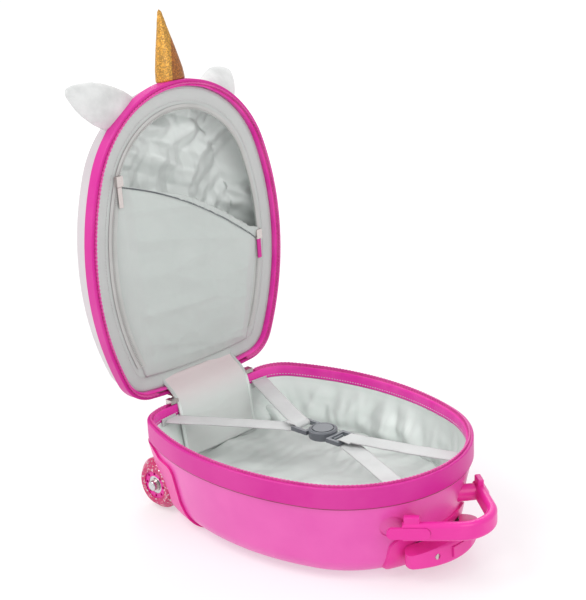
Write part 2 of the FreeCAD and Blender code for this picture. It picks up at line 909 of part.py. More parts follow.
GRIP_X = value(GRIP_MIDDLE)
GRIP_FRONT = GRIP_X + size("grip_radius")
nose_gap = -size("nose_wall") - fit
nose_room = doc.addObject("Part::Feature", "nose_room")
nose_room.Shape = filled([
    (size("floor_inset"), 0.0),
    (wall_inset(nose_gap, 0.0), 0.0),
    (wall_inset(nose_gap, RIM), RIM),
])


def grip_tools(label):
    """Tube bores, button pocket and screw holes for one half of the grip."""
    tools = [nose_room]
    for name, side in SIDES.items():
        start = V(GRIP_X, side * size("tube_spread"), size("tube_height"))
        tools.append(cylinder(f"{label}_bore_{name}", f"{stage_radius('inner')} + running_gap",
                              f"{GRIP_INSIDE} + tube_in_grip", along(start, AHEAD)))
        tools.append(cylinder(f"{label}_tube_room_{name}", "outer_tube_radius + fit_gap",
                              f"{TUBE_FRONT} + middle_proud + fit_gap - {GRIP_MIDDLE}", along(start, AHEAD)))
        tools.append(cylinder(f"{label}_screw_bore_{name}", "screw_radius + running_gap", "2 * screw_length",
                              along(grip_screw_start(side), AHEAD)))
    pocket = V(GRIP_FRONT - size("button_depth") + size("button_proud") - size("button_travel") - fit,
               -size("button_width") / 2 - fit, size("tube_height") - size("button_height") / 2 - fit)
    tools.append(box(f"{label}_pocket", ("2 * button_depth", "button_width + 2 * fit_gap",
                                         "button_height + 2 * fit_gap"), turned(pocket)))
    return tools


def grip_crown():
    """Everything above the grip's top, which falls away towards both ends."""
    radius, top = size("grip_crown_radius"), size("tube_height") + size("grip_height") / 2
    above = Part.makeBox(FAR, FAR, FAR, V(0, -FAR / 2, size("tube_height")))
    crown = doc.addObject("Part::Feature", "grip_crown")
    crown.Shape = above.cut(Part.makeCylinder(radius, FAR, V(0, 0, top - radius), AHEAD))
    return crown


def grip_screw_start(side):
    across = side * size("tube_spread")
    skin = GRIP_X + math.sqrt(size("grip_radius") ** 2 - across ** 2)
    return V(skin - size("screw_length"), across, size("tube_height"))


def grip_half(label, way):
    body = doc.addObject("PartDesign::Body", label + "_body")
    sketch = polygon(body, label + "_profile", "XZ_Plane", [
        ("grip_radius - grip_depth", "tube_height"),
        ("grip_radius", "tube_height"),
        ("grip_radius", f"tube_height + {way} * grip_height / 2"),
        ("grip_radius - grip_depth", f"tube_height + {way} * grip_height / 2"),
    ])
    sweep = body.newObject("PartDesign::Revolution", label + "_sweep")
    sweep.Profile = sketch
    sweep.ReferenceAxis = (sketch, ["V_Axis"])
    bind(sweep, "Angle", "grip_angle")
    doc.recompute()
    top = size("tube_height") + way * size("grip_height") / 2
    softened(body, "grip_nose_radius", lambda edge: abs(edge.Vertexes[0].Z - edge.Vertexes[-1].Z) > TINY)
    softened(body, "grip_edge_radius", lambda edge: all(abs(spot.Z - top) < TINY for spot in edge.Vertexes))
    weight = body.Shape.Solids[0].CenterOfMass
    heading = math.degrees(math.atan2(weight.y, weight.x))
    body.Placement = turned(V(GRIP_X, 0, 0), UP, -heading)
    node(label, cut(label, body, grip_tools(label) + ([grip_crown()] if way > 0 else [])))


grip_half("grip_top", 1)
grip_half("grip_base", -1)
grouped("grip_screws", [cylinder(f"grip_screw_{name}", "screw_radius", "screw_length",
                                 along(grip_screw_start(side), AHEAD)) for name, side in SIDES.items()])
button_corner = V(GRIP_FRONT - size("button_depth") + size("button_proud"), -size("button_width") / 2,
                  size("tube_height") - size("button_height") / 2)
button_extents = ("button_depth", "button_width", "button_height")
node("release_button", box("release_button", button_extents, turned(button_corner)))

# Carry bow

RUN = "(bow_front_reach + bow_root_setback)"
CLIMB = "(bow_root_y - bow_front_y)"
ARM = f"sqrt({RUN} ^ 2 + {CLIMB} ^ 2)"
INNER_ROOT = (f"{BOW_ROOT} - bow_wall * {CLIMB} / {ARM}", f"bow_root_y - bow_wall * {RUN} / {ARM}")
INNER_FRONT = (f"{BOW_FRONT} - bow_wall", f"bow_front_y + bow_wall * ({CLIMB} - {ARM}) / {RUN}")
bow_outline = [
    (BOW_ROOT, "-bow_root_y"),
    (BOW_FRONT, "-bow_front_y"),
    (BOW_FRONT, "bow_front_y"),
    (BOW_ROOT, "bow_root_y"),
    INNER_ROOT,
    INNER_FRONT,
    (INNER_FRONT[0], f"-({INNER_FRONT[1]})"),
    (INNER_ROOT[0], f"-({INNER_ROOT[1]})"),
]
bow = padded("bow", "XY_Plane", bow_outline, "bow_height")


def level(edge):
    return abs(edge.Vertexes[0].Z - edge.Vertexes[-1].Z) < TINY


def upright_at(along_x):
    return lambda edge: not level(edge) and all(abs(spot.X - along_x) < TINY for spot in edge.Vertexes)


softened(bow, "bow_bend_radius", upright_at(value(BOW_FRONT)))
softened(bow, "bow_bend_radius - bow_wall", upright_at(value(BOW_FRONT) - size("bow_wall")))
softened(bow, "bow_edge_radius", level)
bow.Placement = turned(V(0, 0, size("bow_low")))


def arm_frame(side, step, inward):
    """Placement with X along a bow arm and Z towards the shell."""
    way, inner = bow_way(side), bow_inward(side)
    facing = FreeCAD.Rotation(way, inner.cross(way), inner, "XZY")
    return FreeCAD.Placement(bow_root(side, step, inward), facing)


def pill(name, side, growth):
    """Round-ended plate lying along the outer face of a bow arm."""
    half = f"(plate_height / 2 + {growth})"
    body = padded(name, "XY_Plane", [
        (f"-{growth}", f"-{half}"),
        (f"plate_length + {growth}", f"-{half}"),
        (f"plate_length + {growth}", half),
        (f"-{growth}", half),
    ], "plate_wall")
    softened(body, f"{half} - running_gap", lambda edge: not level(edge))
    body.Placement = arm_frame(side, -size("plate_overhang"), size("slot_depth") - size("plate_wall"))
    return body


def arm_tab(name, side):
    """Raised stop on top of a bow arm, beside its root."""
    body = padded(name, "XY_Plane", [
        ("0", "0"),
        ("tab_length", "0"),
        ("tab_length", "tab_width"),
        ("0", "tab_width"),
    ], "tab_height + bow_edge_radius")
    top = size("tab_height") + size("bow_edge_radius")
    softened(body, "tab_radius", lambda edge: any(abs(spot.Z - top) < TINY for spot in edge.Vertexes))
    way = bow_way(side)
    inward = size("tab_inset") + (size("tab_width") if side > 0 else 0.0)
    corner = bow_root(side, size("tab_step"), inward, size("bow_height") / 2 - size("bow_edge_radius"))
    body.Placement = turned(corner, UP, math.degrees(math.atan2(way.y, way.x)))
    return body


slots = []
handle_screws = []
handle_plates = []
handle_mounts = []
for name, side in SIDES.items():
    start = bow_root(side, size("post_radius"), size("slot_depth") + 2 * fit)
    screw_place = along(start, bow_inward(side))
    bolt = "bow_wall - slot_depth - 2 * fit_gap + screw_length"
    handle_screws.append(cylinder(f"handle_screw_{name}", "screw_radius", bolt, screw_place))
    handle_plates.append(pill(f"plate_{name}", side, "0"))
    bore = cylinder(f"arm_bore_{name}", "screw_radius + running_gap", bolt, screw_place)
    slots += [pill(f"slot_{name}", side, "fit_gap"), bore]
    mount = post(side, size("post_radius"), size("bow_wall"), FAR / 4).cut(base_outside)
    bore = Part.makeCylinder(size("screw_radius") + size("running_gap"), value(bolt), start, bow_inward(side))
    handle_mounts.append(mount.cut(bore))
tabs = [arm_tab(f"tab_{name}", side) for name, side in SIDES.items()]
node("carry_bow", cut("carry_bow", joined("bow_and_tabs", [bow, *tabs]), slots))
feature("handle_mounts", Part.makeCompound(handle_mounts))
grouped("handle_plates", handle_plates)
grouped("handle_screws", handle_screws)

# Cloth hinge

def centred(body):
    """Move a cloth strip so that it lies evenly about the middle plane."""
    bounds = body.Shape.BoundBox
    body.Placement = turned(V(0, -(bounds.YMin + bounds.YMax) / 2, 0))
    return body


def strip(name, path, width):
    """Cloth of even thickness that follows a path in the middle plane."""
    front = [(f"{across} + cloth_wall / 2", height) for across, height in path]
    back = [(f"{across} - cloth_wall / 2", height) for across, height in reversed(path)]
    return centred(padded(name, "XZ_Plane", front + back, width))


node("hinge_panel", strip("hinge_panel", [
    ("-case_length / 2 - panel_lean", "rim_height + panel_rise"),
    ("-case_length / 2 + panel_hinge_step", "rim_height + half_zip_gap"),
    ("-case_length / 2 + panel_hinge_step + half_zip_gap", "rim_height - band_height"),
    ("-case_length / 2 + panel_low_step", "rim_height - panel_drop"),
], "2 * panel_half_width"))

TAPE_X = "-case_length / 2 - cloth_wall"
TAPE_Z = "rim_height + half_zip_gap + tape_lift"
tape = padded("hinge_tape", "XZ_Plane", [
    (TAPE_X, "rim_height - tape_drop"),
    (TAPE_X, "rim_height - hinge_reach"),
    (f"{TAPE_X} - half_zip_gap - cloth_wall / 2", f"{TAPE_Z} - cloth_wall / 2"),
    (f"{TAPE_X} - tape_reach", f"{TAPE_Z} - cloth_wall / 2"),
    (f"{TAPE_X} - tape_reach", f"{TAPE_Z} + cloth_wall / 2"),
    (f"{TAPE_X} - half_zip_gap - cloth_wall", f"{TAPE_Z} + cloth_wall / 2"),
    (f"{TAPE_X} + cloth_wall / 2", "rim_height - hinge_reach + cloth_wall / 4"),
    (f"{TAPE_X} + cloth_wall / 2", "rim_height - tape_drop"),
], "2 * tape_half_width")
node("hinge_tape", centred(tape))
piping_start = HINGE - ACROSS * size("tape_half_width")
piping_place = along(piping_start, ACROSS)
node("hinge_piping", cylinder("hinge_piping", "piping_radius", "2 * tape_half_width", piping_place))

# Packing straps and buckle

def egg_point(arc, inset, across, height):
    """Point on the tip or end arc of an inset outline at a distance across."""
    centre, radius = ARCS[arc][:2]
    reach = math.sqrt((radius - inset) ** 2 - across ** 2)
    return V(centre.x + (reach if arc == TIP_ARC else -reach), across, height)


TIP_ARC, END_ARC = 0, 3
ANCHOR_INSET = BINDING_IN + size("fit_gap")
strap_z = size("strap_height")
buckle_at = V(0, size("buckle_y"), strap_z)
rear_ends, front_ends = {}, {}
for name, side in SIDES.items():
    rear_ends[name] = egg_point(END_ARC, ANCHOR_INSET, side * size("strap_rear_y"), strap_z)
    front_ends[name] = egg_point(TIP_ARC, ANCHOR_INSET, side * size("strap_front_y"), strap_z)


def strap(label, start, end, lift):
    """Flat webbing from one point to another, lifted above or below the buckle bars."""
    way = end - start
    turn = math.degrees(math.atan2(way.y, way.x))
    corner = V(0, -size("strap_width") / 2, lift - size("strap_wall") / 2)
    place = turned(start, UP, turn).multiply(turned(corner))
    return box(label, (str(way.Length), "strap_width", "strap_wall"), place)


def short_of(end, start):
    """Point a little short of the end of a strap."""
    way = (end - start).normalize()
    return end - way * size("strap_end_gap")


bar_reach = size("buckle_reach") + size("loop_bar") / 2
rear_bar = buckle_at - AHEAD * bar_reach
front_bar = buckle_at + AHEAD * bar_reach
bar_lift = size("loop_height") / 2 + fit + size("strap_wall") / 2
rear_straps = []
for name, side in SIDES.items():
    rear_straps.append(strap(f"rear_strap_{name}", rear_bar, short_of(rear_ends[name], rear_bar), side * bar_lift))
    front = strap(f"front_strap_{name}", front_bar, short_of(front_ends[name], front_bar), side * bar_lift)
    node(f"front_strap_{name}", front)
grouped("rear_straps", rear_straps)

anchors = []
for name, spot in [*rear_ends.items(), *front_ends.items()]:
    arc = END_ARC if spot.x < 0 else TIP_ARC
    normal = (ARCS[arc][0] - V(spot.x, spot.y, 0)).normalize()
    turn = math.degrees(math.atan2(normal.y, normal.x))
    corner = V(size("fit_gap"), -size("anchor_length") / 2, -size("anchor_height") / 2)
    anchors.append(box(f"anchor_{arc}_{name}", ("anchor_wall", "anchor_length", "anchor_height"),
                       turned(spot, UP, turn).multiply(turned(corner))))
grouped("strap_anchors", anchors)


def buckle_box(name, extents, corner):
    return box(name, extents, turned(buckle_at + V(*[value(text) for text in corner])))


def buckle_round(name, radius, height, low):
    return cylinder(name, radius, height, turned(buckle_at + UP * value(low)))


def loop(name, low, high):
    """Frame for the webbing, open in the middle."""
    frame = buckle_box(name, (f"{high} - ({low})", "loop_width", "loop_height"),
                       (low, "-loop_width / 2", "-loop_height / 2"))
    window = buckle_box(f"{name}_window", (f"{high} - ({low}) - 2 * loop_bar", "loop_width - 2 * loop_bar",
                                           "2 * loop_height"),
                        (f"{low} + loop_bar", "loop_bar - loop_width / 2", "-loop_height"))
    return cut(name, frame, [window])


LOOP_END = "(buckle_reach + loop_bar)"
socket = joined("socket", [
    buckle_round("socket_disc", "buckle_radius", "buckle_height", "-buckle_height / 2"),
    loop("rear_loop", f"-{LOOP_END}", "-buckle_radius + loop_bar"),
])
slot_extents = ("2 * buckle_radius", "tongue_width + 2 * fit_gap", "tongue_height + 2 * fit_gap")
slot_corner = (
    "buckle_radius - tongue_reach - fit_gap",
    "-tongue_width / 2 - fit_gap",
    "-tongue_height / 2 - fit_gap",
)
slot = buckle_box("tongue_slot", slot_extents, slot_corner)
dial_low = "buckle_height / 2 + dial_proud - dial_height"
dial_bore = buckle_round("dial_bore", "dial_radius + fit_gap", "buckle_height",
                         f"{dial_low} - dial_travel - fit_gap")
node("buckle_socket", cut("buckle_socket", socket, [slot, dial_bore]))
node("buckle_button", buckle_round("buckle_button", "dial_radius", "dial_height", dial_low))
tongue_plate = buckle_box("tongue_plate", ("tongue_reach + 2 * loop_bar", "tongue_width", "tongue_height"),
                          ("buckle_radius - tongue_reach", "-tongue_width / 2", "-tongue_height / 2"))
front_loop = loop("front_loop", "buckle_radius + 2 * fit_gap", LOOP_END)
node("buckle_tongue", joined("buckle_tongue", [front_loop, tongue_plate]))

# Main zip sliders, parked at the two ends of the cloth hinge, and their pulls

def pull_barrel(name, middle):
    start = middle - ACROSS * (size("pull_width") / 2)
    return cylinder(name, "pull_barrel_radius", "pull_width", along(start, ACROSS))


sliders = []
for name, side in SIDES.items():
    low = RIM + size("side_gap")
    outline = egg_point(END_ARC, 0.0, side * size("slider_offset"), low)
    corner = outline - ACROSS * (size("slider_length") / 2) - AHEAD * size("running_gap")
    runner = box(f"slider_{name}", ("slider_width", "slider_length", "slider_height"), turned(corner))
    bail_end = HINGE.x + size("pull_barrel_radius") + fit
    bail_low = HINGE.z - size("bail_height") / 2
    bail_corner = V(bail_end, outline.y - size("bail_width") / 2, bail_low)
    bail_extents = (str(outline.x - bail_end), "bail_width", "bail_height")
    sliders.append(joined(f"slider_{name}", [runner, box(f"bail_{name}", bail_extents, turned(bail_corner))]))
    hang = V(HINGE.x - size("pull_wall") / 2, outline.y - size("pull_width") / 2, HINGE.z - size("pull_length"))
    tab = box(f"zip_tab_{name}", ("pull_wall", "pull_width", "pull_length"), turned(hang))
    barrel = pull_barrel(f"zip_barrel_{name}", V(HINGE.x, outline.y, HINGE.z))
    node(f"zip_pull_{name}", joined(f"zip_pull_{name}", [tab, barrel]))
grouped("zip_sliders", sliders)

# Lid half, drawn closed and then swung open

KNEE = size("crown_knee_radius")
lid_crown = filled([LID_WALL[0], (*LID_WALL[1], KNEE), LID_WALL[2]])
lid_block = lid_crown.fuse(slab(0.0, LID_RIM, LID_BAND_TOP))
inner_top = LID_TOP - size("shell_wall")
lid_shell = ring(wall_section(LID_WALL, KNEE, -size("lid_tongue_rise"))).fuse(slab(size("floor_inset"), inner_top, LID_TOP))
opened(feature("lid_shell", lid_shell.removeSplitter()))
opened(feature("lid_band", ring(band_section(LID_RIM, LID_BAND_TOP))))
opened(feature("lid_binding", ring(binding_section(LID_RIM, -1))))
opened(feature("lid_zip_chain", zip_chain(LID_RIM, -1)))


def crown(distance, edge):
    """Inside of the lid crown, drawn in from its outer face by a distance."""
    top, knee, rim = shifted_wall(LID_WALL, distance)
    upright = TONGUE_IN + distance - size("shell_wall")
    level = (0.0, 1.0)
    bend = crossing(knee, (rim[0] - knee[0], rim[1] - knee[1]), (upright, 0.0), level)
    start = crossing(knee, (top[0] - knee[0], top[1] - knee[1]), (size("floor_inset"), 0.0), level)
    return filled([start, (*knee, KNEE - distance), bend, (upright, edge)])


LID_LINING_EDGE = LID_RIM + size("binding_height") + size("fit_gap")
lid_lining = crown(LINING_OUT, LID_LINING_EDGE).cut(crown(LINING_IN, LID_RIM))
opened(feature("lid_lining", lid_lining))

# Lid pocket: a fixed surround, an arched zip tape and a loose front flap

POCKET_LOW = LID_RIM + size("pocket_depth")
POCKET_HIGH = POCKET_LOW + size("cloth_wall")
surround = slab(BINDING_IN + fit, POCKET_LOW, POCKET_HIGH)
mouth = slab(size("pocket_inset"), POCKET_LOW, POCKET_HIGH)
opened(feature("pocket_surround", surround.cut(mouth)))
half_tape = size("pocket_tape") / 2
TAPE_LOW = POCKET_LOW - size("pocket_tape_wall")
pocket_tape = slab(size("pocket_inset") - half_tape, TAPE_LOW, POCKET_LOW)
pocket_tape = pocket_tape.cut(slab(size("pocket_inset") + half_tape, TAPE_LOW, POCKET_LOW))
pocket_foot = Part.makeBox(FAR, 2 * FAR, FAR, V(END + size("pocket_foot") - FAR, -FAR, 0))
opened(feature("pocket_zip", pocket_tape.cut(pocket_foot)))


def pocket_side(along_x, side):
    """Point on the zip line at a distance along the lid, on one side."""
    line = Part.makeLine(V(along_x, 0, POCKET_LOW), V(along_x, side * FAR, POCKET_LOW))
    return line.common(mouth).Vertexes[-1].Point


flap_ends = {
    "left": pocket_side(FAR / 2 - size("pocket_low_end"), 1),
    "right": pocket_side(FAR / 2 - size("pocket_high_end"), -1),
}
flap_middle = V(FAR / 2 - size("pocket_middle"), 0, POCKET_LOW)
flap_edge = Part.Arc(flap_ends["left"], flap_middle, flap_ends["right"]).toShape()
flap_stops = [flap_ends["right"], V(flap_ends["right"].x, -FAR, POCKET_LOW), V(-FAR, -FAR, POCKET_LOW),
              V(-FAR, FAR, POCKET_LOW), V(flap_ends["left"].x, FAR, POCKET_LOW), flap_ends["left"]]
flap_sides = [Part.makeLine(first, second) for first, second in zip(flap_stops, flap_stops[1:])]
flap_region = Part.Face(Part.Wire([flap_edge] + flap_sides)).extrude(UP * size("cloth_wall"))
flap = slab(size("pocket_inset") + fit, POCKET_LOW, POCKET_HIGH).common(flap_region)
opened(feature("pocket_flap", flap))

pocket_sliders = []
for name, spot in flap_ends.items():
    top = TAPE_LOW - size("running_gap")
    corner = V(spot.x, spot.y - size("slider_width") / 2, top - size("slider_height"))
    slider = box(f"pocket_slider_{name}", ("slider_length", "slider_width", "slider_height"), turned(corner))
    pocket_sliders.append(opened(slider))
    low = top - size("slider_height") / 2 - size("pull_wall") / 2
    hang = V(spot.x - size("pull_length") - size("pull_gap"), spot.y - size("pull_width") / 2, low)
    tab = box(f"pocket_tab_{name}", ("pull_length", "pull_width", "pull_wall"), turned(hang))
    swing = V(spot.x - size("pull_gap"), spot.y, low + size("pull_wall") / 2)
    barrel = pull_barrel(f"pocket_barrel_{name}", swing)
    opened(node(f"pocket_pull_{name}", joined(f"pocket_pull_{name}", [tab, barrel])))
grouped("pocket_sliders", pocket_sliders)

# Stuffed horn and ears, swelling from the seam and tapering to their tips

HORN_TAPER = [(0.0, 0.5, 0.5), (0.35, 0.38, 0.4), (0.7, 0.2, 0.22), (1.0, 0.06, 0.07)]
EAR_TAPER = [(0.0, 0.4, 0.4), (0.35, 0.5, 0.5), (0.65, 0.42, 0.45), (0.88, 0.22, 0.28), (1.0, 0.06, 0.1)]
EAR_WAYS = {"left": V(0.10, 0.75, 0.60), "right": V(0.46, -0.87, 0.14)}


def stuffed(label, kind, root, heading, broad, taper):
    """Taper through ellipses given as shares of the length, the width and the depth."""
    heading = V(heading).normalize()
    broad = (broad - heading * broad.dot(heading)).normalize()
    facing = FreeCAD.Rotation(broad, heading.cross(broad), heading, "ZXY")
    hoops = []
    for index, (along_share, width_share, depth_share) in enumerate(taper):
        hoop = doc.addObject("Part::Ellipse", f"{label}_hoop_{index}")
        bind(hoop, "MajorRadius", f"{kind}_width * {width_share}")
        bind(hoop, "MinorRadius", f"{kind}_depth * {depth_share}")
        hoop.Placement = FreeCAD.Placement(root + heading * (along_share * size(f"{kind}_length")), facing)
        hoops.append(hoop)
    loft = doc.addObject("Part::Loft", f"{label}_loft")
    loft.Sections = hoops
    loft.Solid = True
    opened(node(label, cut(label, loft, [lid_core])))


lid_core = doc.addObject("Part::Feature", "lid_core")
lid_core.Shape = lid_block
lean = math.radians(size("horn_lean"))
horn_root = V(size("case_length") / 2 - size("horn_sink"), 0, LID_RIM + size("horn_rise"))
stuffed("horn", "horn", horn_root, V(math.cos(lean), 0, math.sin(lean)), ACROSS, HORN_TAPER)
for name, side in SIDES.items():
    bearing = side * math.radians(size("ear_bearing"))
    root = polar(ARCS[TIP_ARC][0], ARCS[TIP_ARC][1] - size("horn_sink"), bearing, LID_RIM + size("ear_rise"))
    tangent = V(-math.sin(bearing), math.cos(bearing), 0)
    stuffed(f"ear_{name}", "ear", root, EAR_WAYS[name], tangent, EAR_TAPER)

# Check every object and write the pieces

doc.recompute()
for thing in doc.Objects:
    if any(word in thing.State for word in ("Invalid", "Error")):
        raise RuntimeError(f"{thing.Label} failed: {thing.State}")
for label, thing in nodes.items():
    if thing.Shape.isNull() or not thing.Shape.isValid() or not thing.Shape.Solids:
        raise RuntimeError(f"{label} has no valid solid")
os.makedirs("parts", exist_ok=True)
for label, thing in nodes.items():
    thing.Shape.exportStep(f"parts/{label}.step")
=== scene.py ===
import json
import math

import bmesh
import bpy
from bpy.props import FloatProperty, FloatVectorProperty, PointerProperty
from mathutils import Matrix, Vector, noise


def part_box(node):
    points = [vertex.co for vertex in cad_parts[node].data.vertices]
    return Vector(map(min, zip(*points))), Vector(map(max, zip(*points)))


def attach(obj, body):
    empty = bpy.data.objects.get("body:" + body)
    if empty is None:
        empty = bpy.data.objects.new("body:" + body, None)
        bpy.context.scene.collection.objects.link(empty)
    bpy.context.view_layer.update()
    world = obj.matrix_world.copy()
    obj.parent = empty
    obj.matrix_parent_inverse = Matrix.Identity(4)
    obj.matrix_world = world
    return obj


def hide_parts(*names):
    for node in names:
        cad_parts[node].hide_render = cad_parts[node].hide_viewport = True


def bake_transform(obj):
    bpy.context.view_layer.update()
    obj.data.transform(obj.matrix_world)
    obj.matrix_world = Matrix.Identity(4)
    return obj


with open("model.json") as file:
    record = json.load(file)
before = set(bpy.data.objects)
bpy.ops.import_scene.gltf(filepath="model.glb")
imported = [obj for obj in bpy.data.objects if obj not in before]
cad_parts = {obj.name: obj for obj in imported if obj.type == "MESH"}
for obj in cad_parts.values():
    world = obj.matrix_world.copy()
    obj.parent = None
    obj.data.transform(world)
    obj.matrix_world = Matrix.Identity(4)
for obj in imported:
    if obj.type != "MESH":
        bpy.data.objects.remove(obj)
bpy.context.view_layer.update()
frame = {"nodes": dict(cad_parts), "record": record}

bl_info = {
    "name": "Ride On Suitcase",
    "version": (1, 0, 0),
    "blender": (4, 5, 0),
    "location": "View3D > Sidebar > Suitcase",
    "description": "Finishes an open ride on suitcase with cloth, webbing, zips and a studio",
    "category": "Object",
}

UP = Vector((0, 0, 1))
ACROSS = Vector((0, 1, 0))
SIDES = {"left": 1, "right": -1}
FINISHED = "_finish"
BUCKLE_Y = 0.008
CLOTH_WALL = 0.0006


def length(name, description, default):
    return FloatProperty(name=name, description=description, default=default, unit="LENGTH", precision=4)


def colour(name, description, default):
    return FloatVectorProperty(name=name, description=description, default=default, size=3,
                               subtype="COLOR", min=0.0, max=1.0)


class SuitcaseSizes(bpy.types.PropertyGroup):
    """Sizes of the case that the cloth, webbing and zips follow"""

    case_length: length("Case length", "Rim from the hinge end to the handle end", 0.376)
    case_width: length("Case width", "Rim across its widest place", 0.303)
    tip_narrowing: length("Tip narrowing", "Half width less the radius of the handle end", 0.012)
    side_drop: length("Side drop", "Side arc's centre beyond the middle line", 0.1865)
    end_radius: length("End radius", "Radius of the flat hinge end", 0.874)
    corner_radius: length("Corner radius", "Radius of the rim's two rear corners", 0.0462)
    rim_height: length("Rim height", "Base rim above the ground", 0.120)
    half_gap: length("Half gap", "Half of the zip gap between the closed rims", 0.003)
    hinge_reach: length("Hinge reach", "Hinge line behind the rim's end", 0.002)
    lid_angle: FloatProperty(name="Lid angle", description="Lid's opening at rest",
                             default=math.radians(91), subtype="ANGLE")
    band_wall: length("Band wall", "Thickness of the rim's outer band", 0.0036)
    tongue_in: length("Tongue inset", "Inner face of the zip groove", 0.006)
    binding_in: length("Binding inset", "Inner face of the binding", 0.0084)
    binding_height: length("Binding height", "Binding below the rim", 0.015)
    lining_slack: length("Lining slack", "Depth of the lining's loose folds", 0.017)
    tooth_pitch: length("Tooth pitch", "Distance between zip teeth", 0.0024)
    stitch_pitch: length("Stitch pitch", "Distance between stitches", 0.0038)
    pocket_inset: length("Pocket inset", "Pocket zip line inside the rim", 0.036)
    pocket_tape: length("Pocket tape", "Width of the pocket's zip tape", 0.012)
    pocket_depth: length("Pocket depth", "Pocket cloth inside the lid's rim", 0.008)
    panel_half: length("Panel half width", "Half the width of the inner hinge cloth", 0.057)
    tape_half: length("Tape half width", "Half the width of the outer hinge tape", 0.054)
    strap_width: length("Strap width", "Width of the packing webbing", 0.022)
    strap_wall: length("Strap wall", "Thickness of the packing webbing", 0.0014)
    strap_height: length("Strap height", "Webbing above the ground", 0.106)
    horn_length: length("Horn length", "Stuffed horn from seam to tip", 0.086)
    horn_width: length("Horn width", "Stuffed horn across its seam", 0.042)
    horn_depth: length("Horn depth", "Stuffed horn through its seam", 0.025)
    ear_length: length("Ear length", "Stuffed ear from seam to tip", 0.082)
    ear_width: length("Ear width", "Stuffed ear across its widest place", 0.052)
    ear_depth: length("Ear depth", "Stuffed ear through its middle", 0.020)


class SuitcaseColours(bpy.types.PropertyGroup):
    """Colours of the case"""

    shell: colour("Shell", "Moulded base shell", (0.81, 0.082, 0.45))
    trim: colour("Trim", "Rim bands", (0.64, 0.012, 0.30))
    gloss: colour("Gloss", "Boot, bow and grip", (0.81, 0.018, 0.345))
    binding: colour("Binding", "Cloth binding round the rims", (0.93, 0.020, 0.45))
    white: colour("White", "Lid shell", (0.58, 0.52, 0.55))
    lining: colour("Lining", "Nylon lining", (0.555, 0.60, 0.575))
    webbing: colour("Webbing", "Packing straps", (0.62, 0.635, 0.63))
    zip: colour("Zip", "Main zip", (0.78, 0.06, 0.38))
    pocket_zip: colour("Pocket zip", "Zip of the lid pocket", (0.54, 0.55, 0.53))
    hinge: colour("Hinge", "Cloth panel inside the hinge", (0.75, 0.63, 0.64))
    red: colour("Red", "Tape outside the hinge", (0.23, 0.004, 0.02))
    gold: colour("Gold", "Glitter cloth of the horn", (0.84, 0.43, 0.075))
    copper: colour("Copper", "Shaded side of the glitter cloth", (0.62, 0.22, 0.05))
    # Painted shade: the darker gold stands for the glitter cloth's shaded side.
    plush: colour("Plush", "Ears", (0.62, 0.63, 0.625))
    buckle: colour("Buckle", "Buckle moulding", (0.135, 0.147, 0.165))
    tyre: colour("Tyre", "Clear glitter tyre", (0.60, 0.022, 0.15))
    metal: colour("Metal", "Zip pulls and sliders", (0.66, 0.59, 0.57))
    steel: colour("Steel", "Bearings, axles and screws", (0.66, 0.66, 0.67))
    tube: colour("Tube", "Pull handle tubes", (0.62, 0.63, 0.65))
    board: colour("Board", "Floor board under the lining", (0.20, 0.19, 0.18))
    floor: colour("Floor", "Studio floor", (0.46, 0.46, 0.46))


class SuitcaseStudio(bpy.types.PropertyGroup):
    """Camera and lights"""

    camera: FloatVectorProperty(name="Camera", description="Place of the camera", subtype="TRANSLATION",
                                default=(1.0086, -1.0499, 0.7582), unit="LENGTH")
    target: FloatVectorProperty(name="Target", description="Point in the middle of the view",
                                subtype="TRANSLATION", default=(-0.0332, 0.0030, 0.2628), unit="LENGTH")
    roll: FloatProperty(name="Roll", description="Turn of the camera about its view",
                        default=math.radians(-2.9), subtype="ANGLE")
    lens: FloatProperty(name="Lens", description="Focal length in millimetres", default=82.34,
                        subtype="DISTANCE_CAMERA")
    key: FloatProperty(name="Key", description="Power of the main soft box in watts", default=34.0)
    fill: FloatProperty(name="Fill", description="Power of the second soft box in watts", default=16.0)
    ambient: FloatProperty(name="Ambient", description="Strength of the even light around", default=0.72)


# Materials


class Value:
    """Number or colour on a socket, worked with like a number."""

    def __init__(self, finish, socket):
        self.finish, self.socket = finish, socket

    def work(self, operation, *others):
        """Result of one sum with this value first."""
        return self.finish.add("ShaderNodeMath", {"operation": operation}, dict(enumerate((self, *others))))

    def __add__(self, other):
        return self.work("ADD", other)

    def __radd__(self, other):
        return self.work("ADD", other)

    def __sub__(self, other):
        return self.work("SUBTRACT", other)

    def __rsub__(self, other):
        return (self * -1.0) + other

    def __mul__(self, other):
        return self.work("MULTIPLY", other)

    def __rmul__(self, other):
        return self.work("MULTIPLY", other)

    def __pow__(self, other):
        return self.work("POWER", other)

    def above(self, low, high):
        """Share of the way from one level to another, smooth at both."""
        return self.finish.add("ShaderNodeMapRange", {"interpolation_type": "SMOOTHSTEP"},
                               {0: self, 1: low, 2: high})

    def sine(self):
        return self.work("SINE")


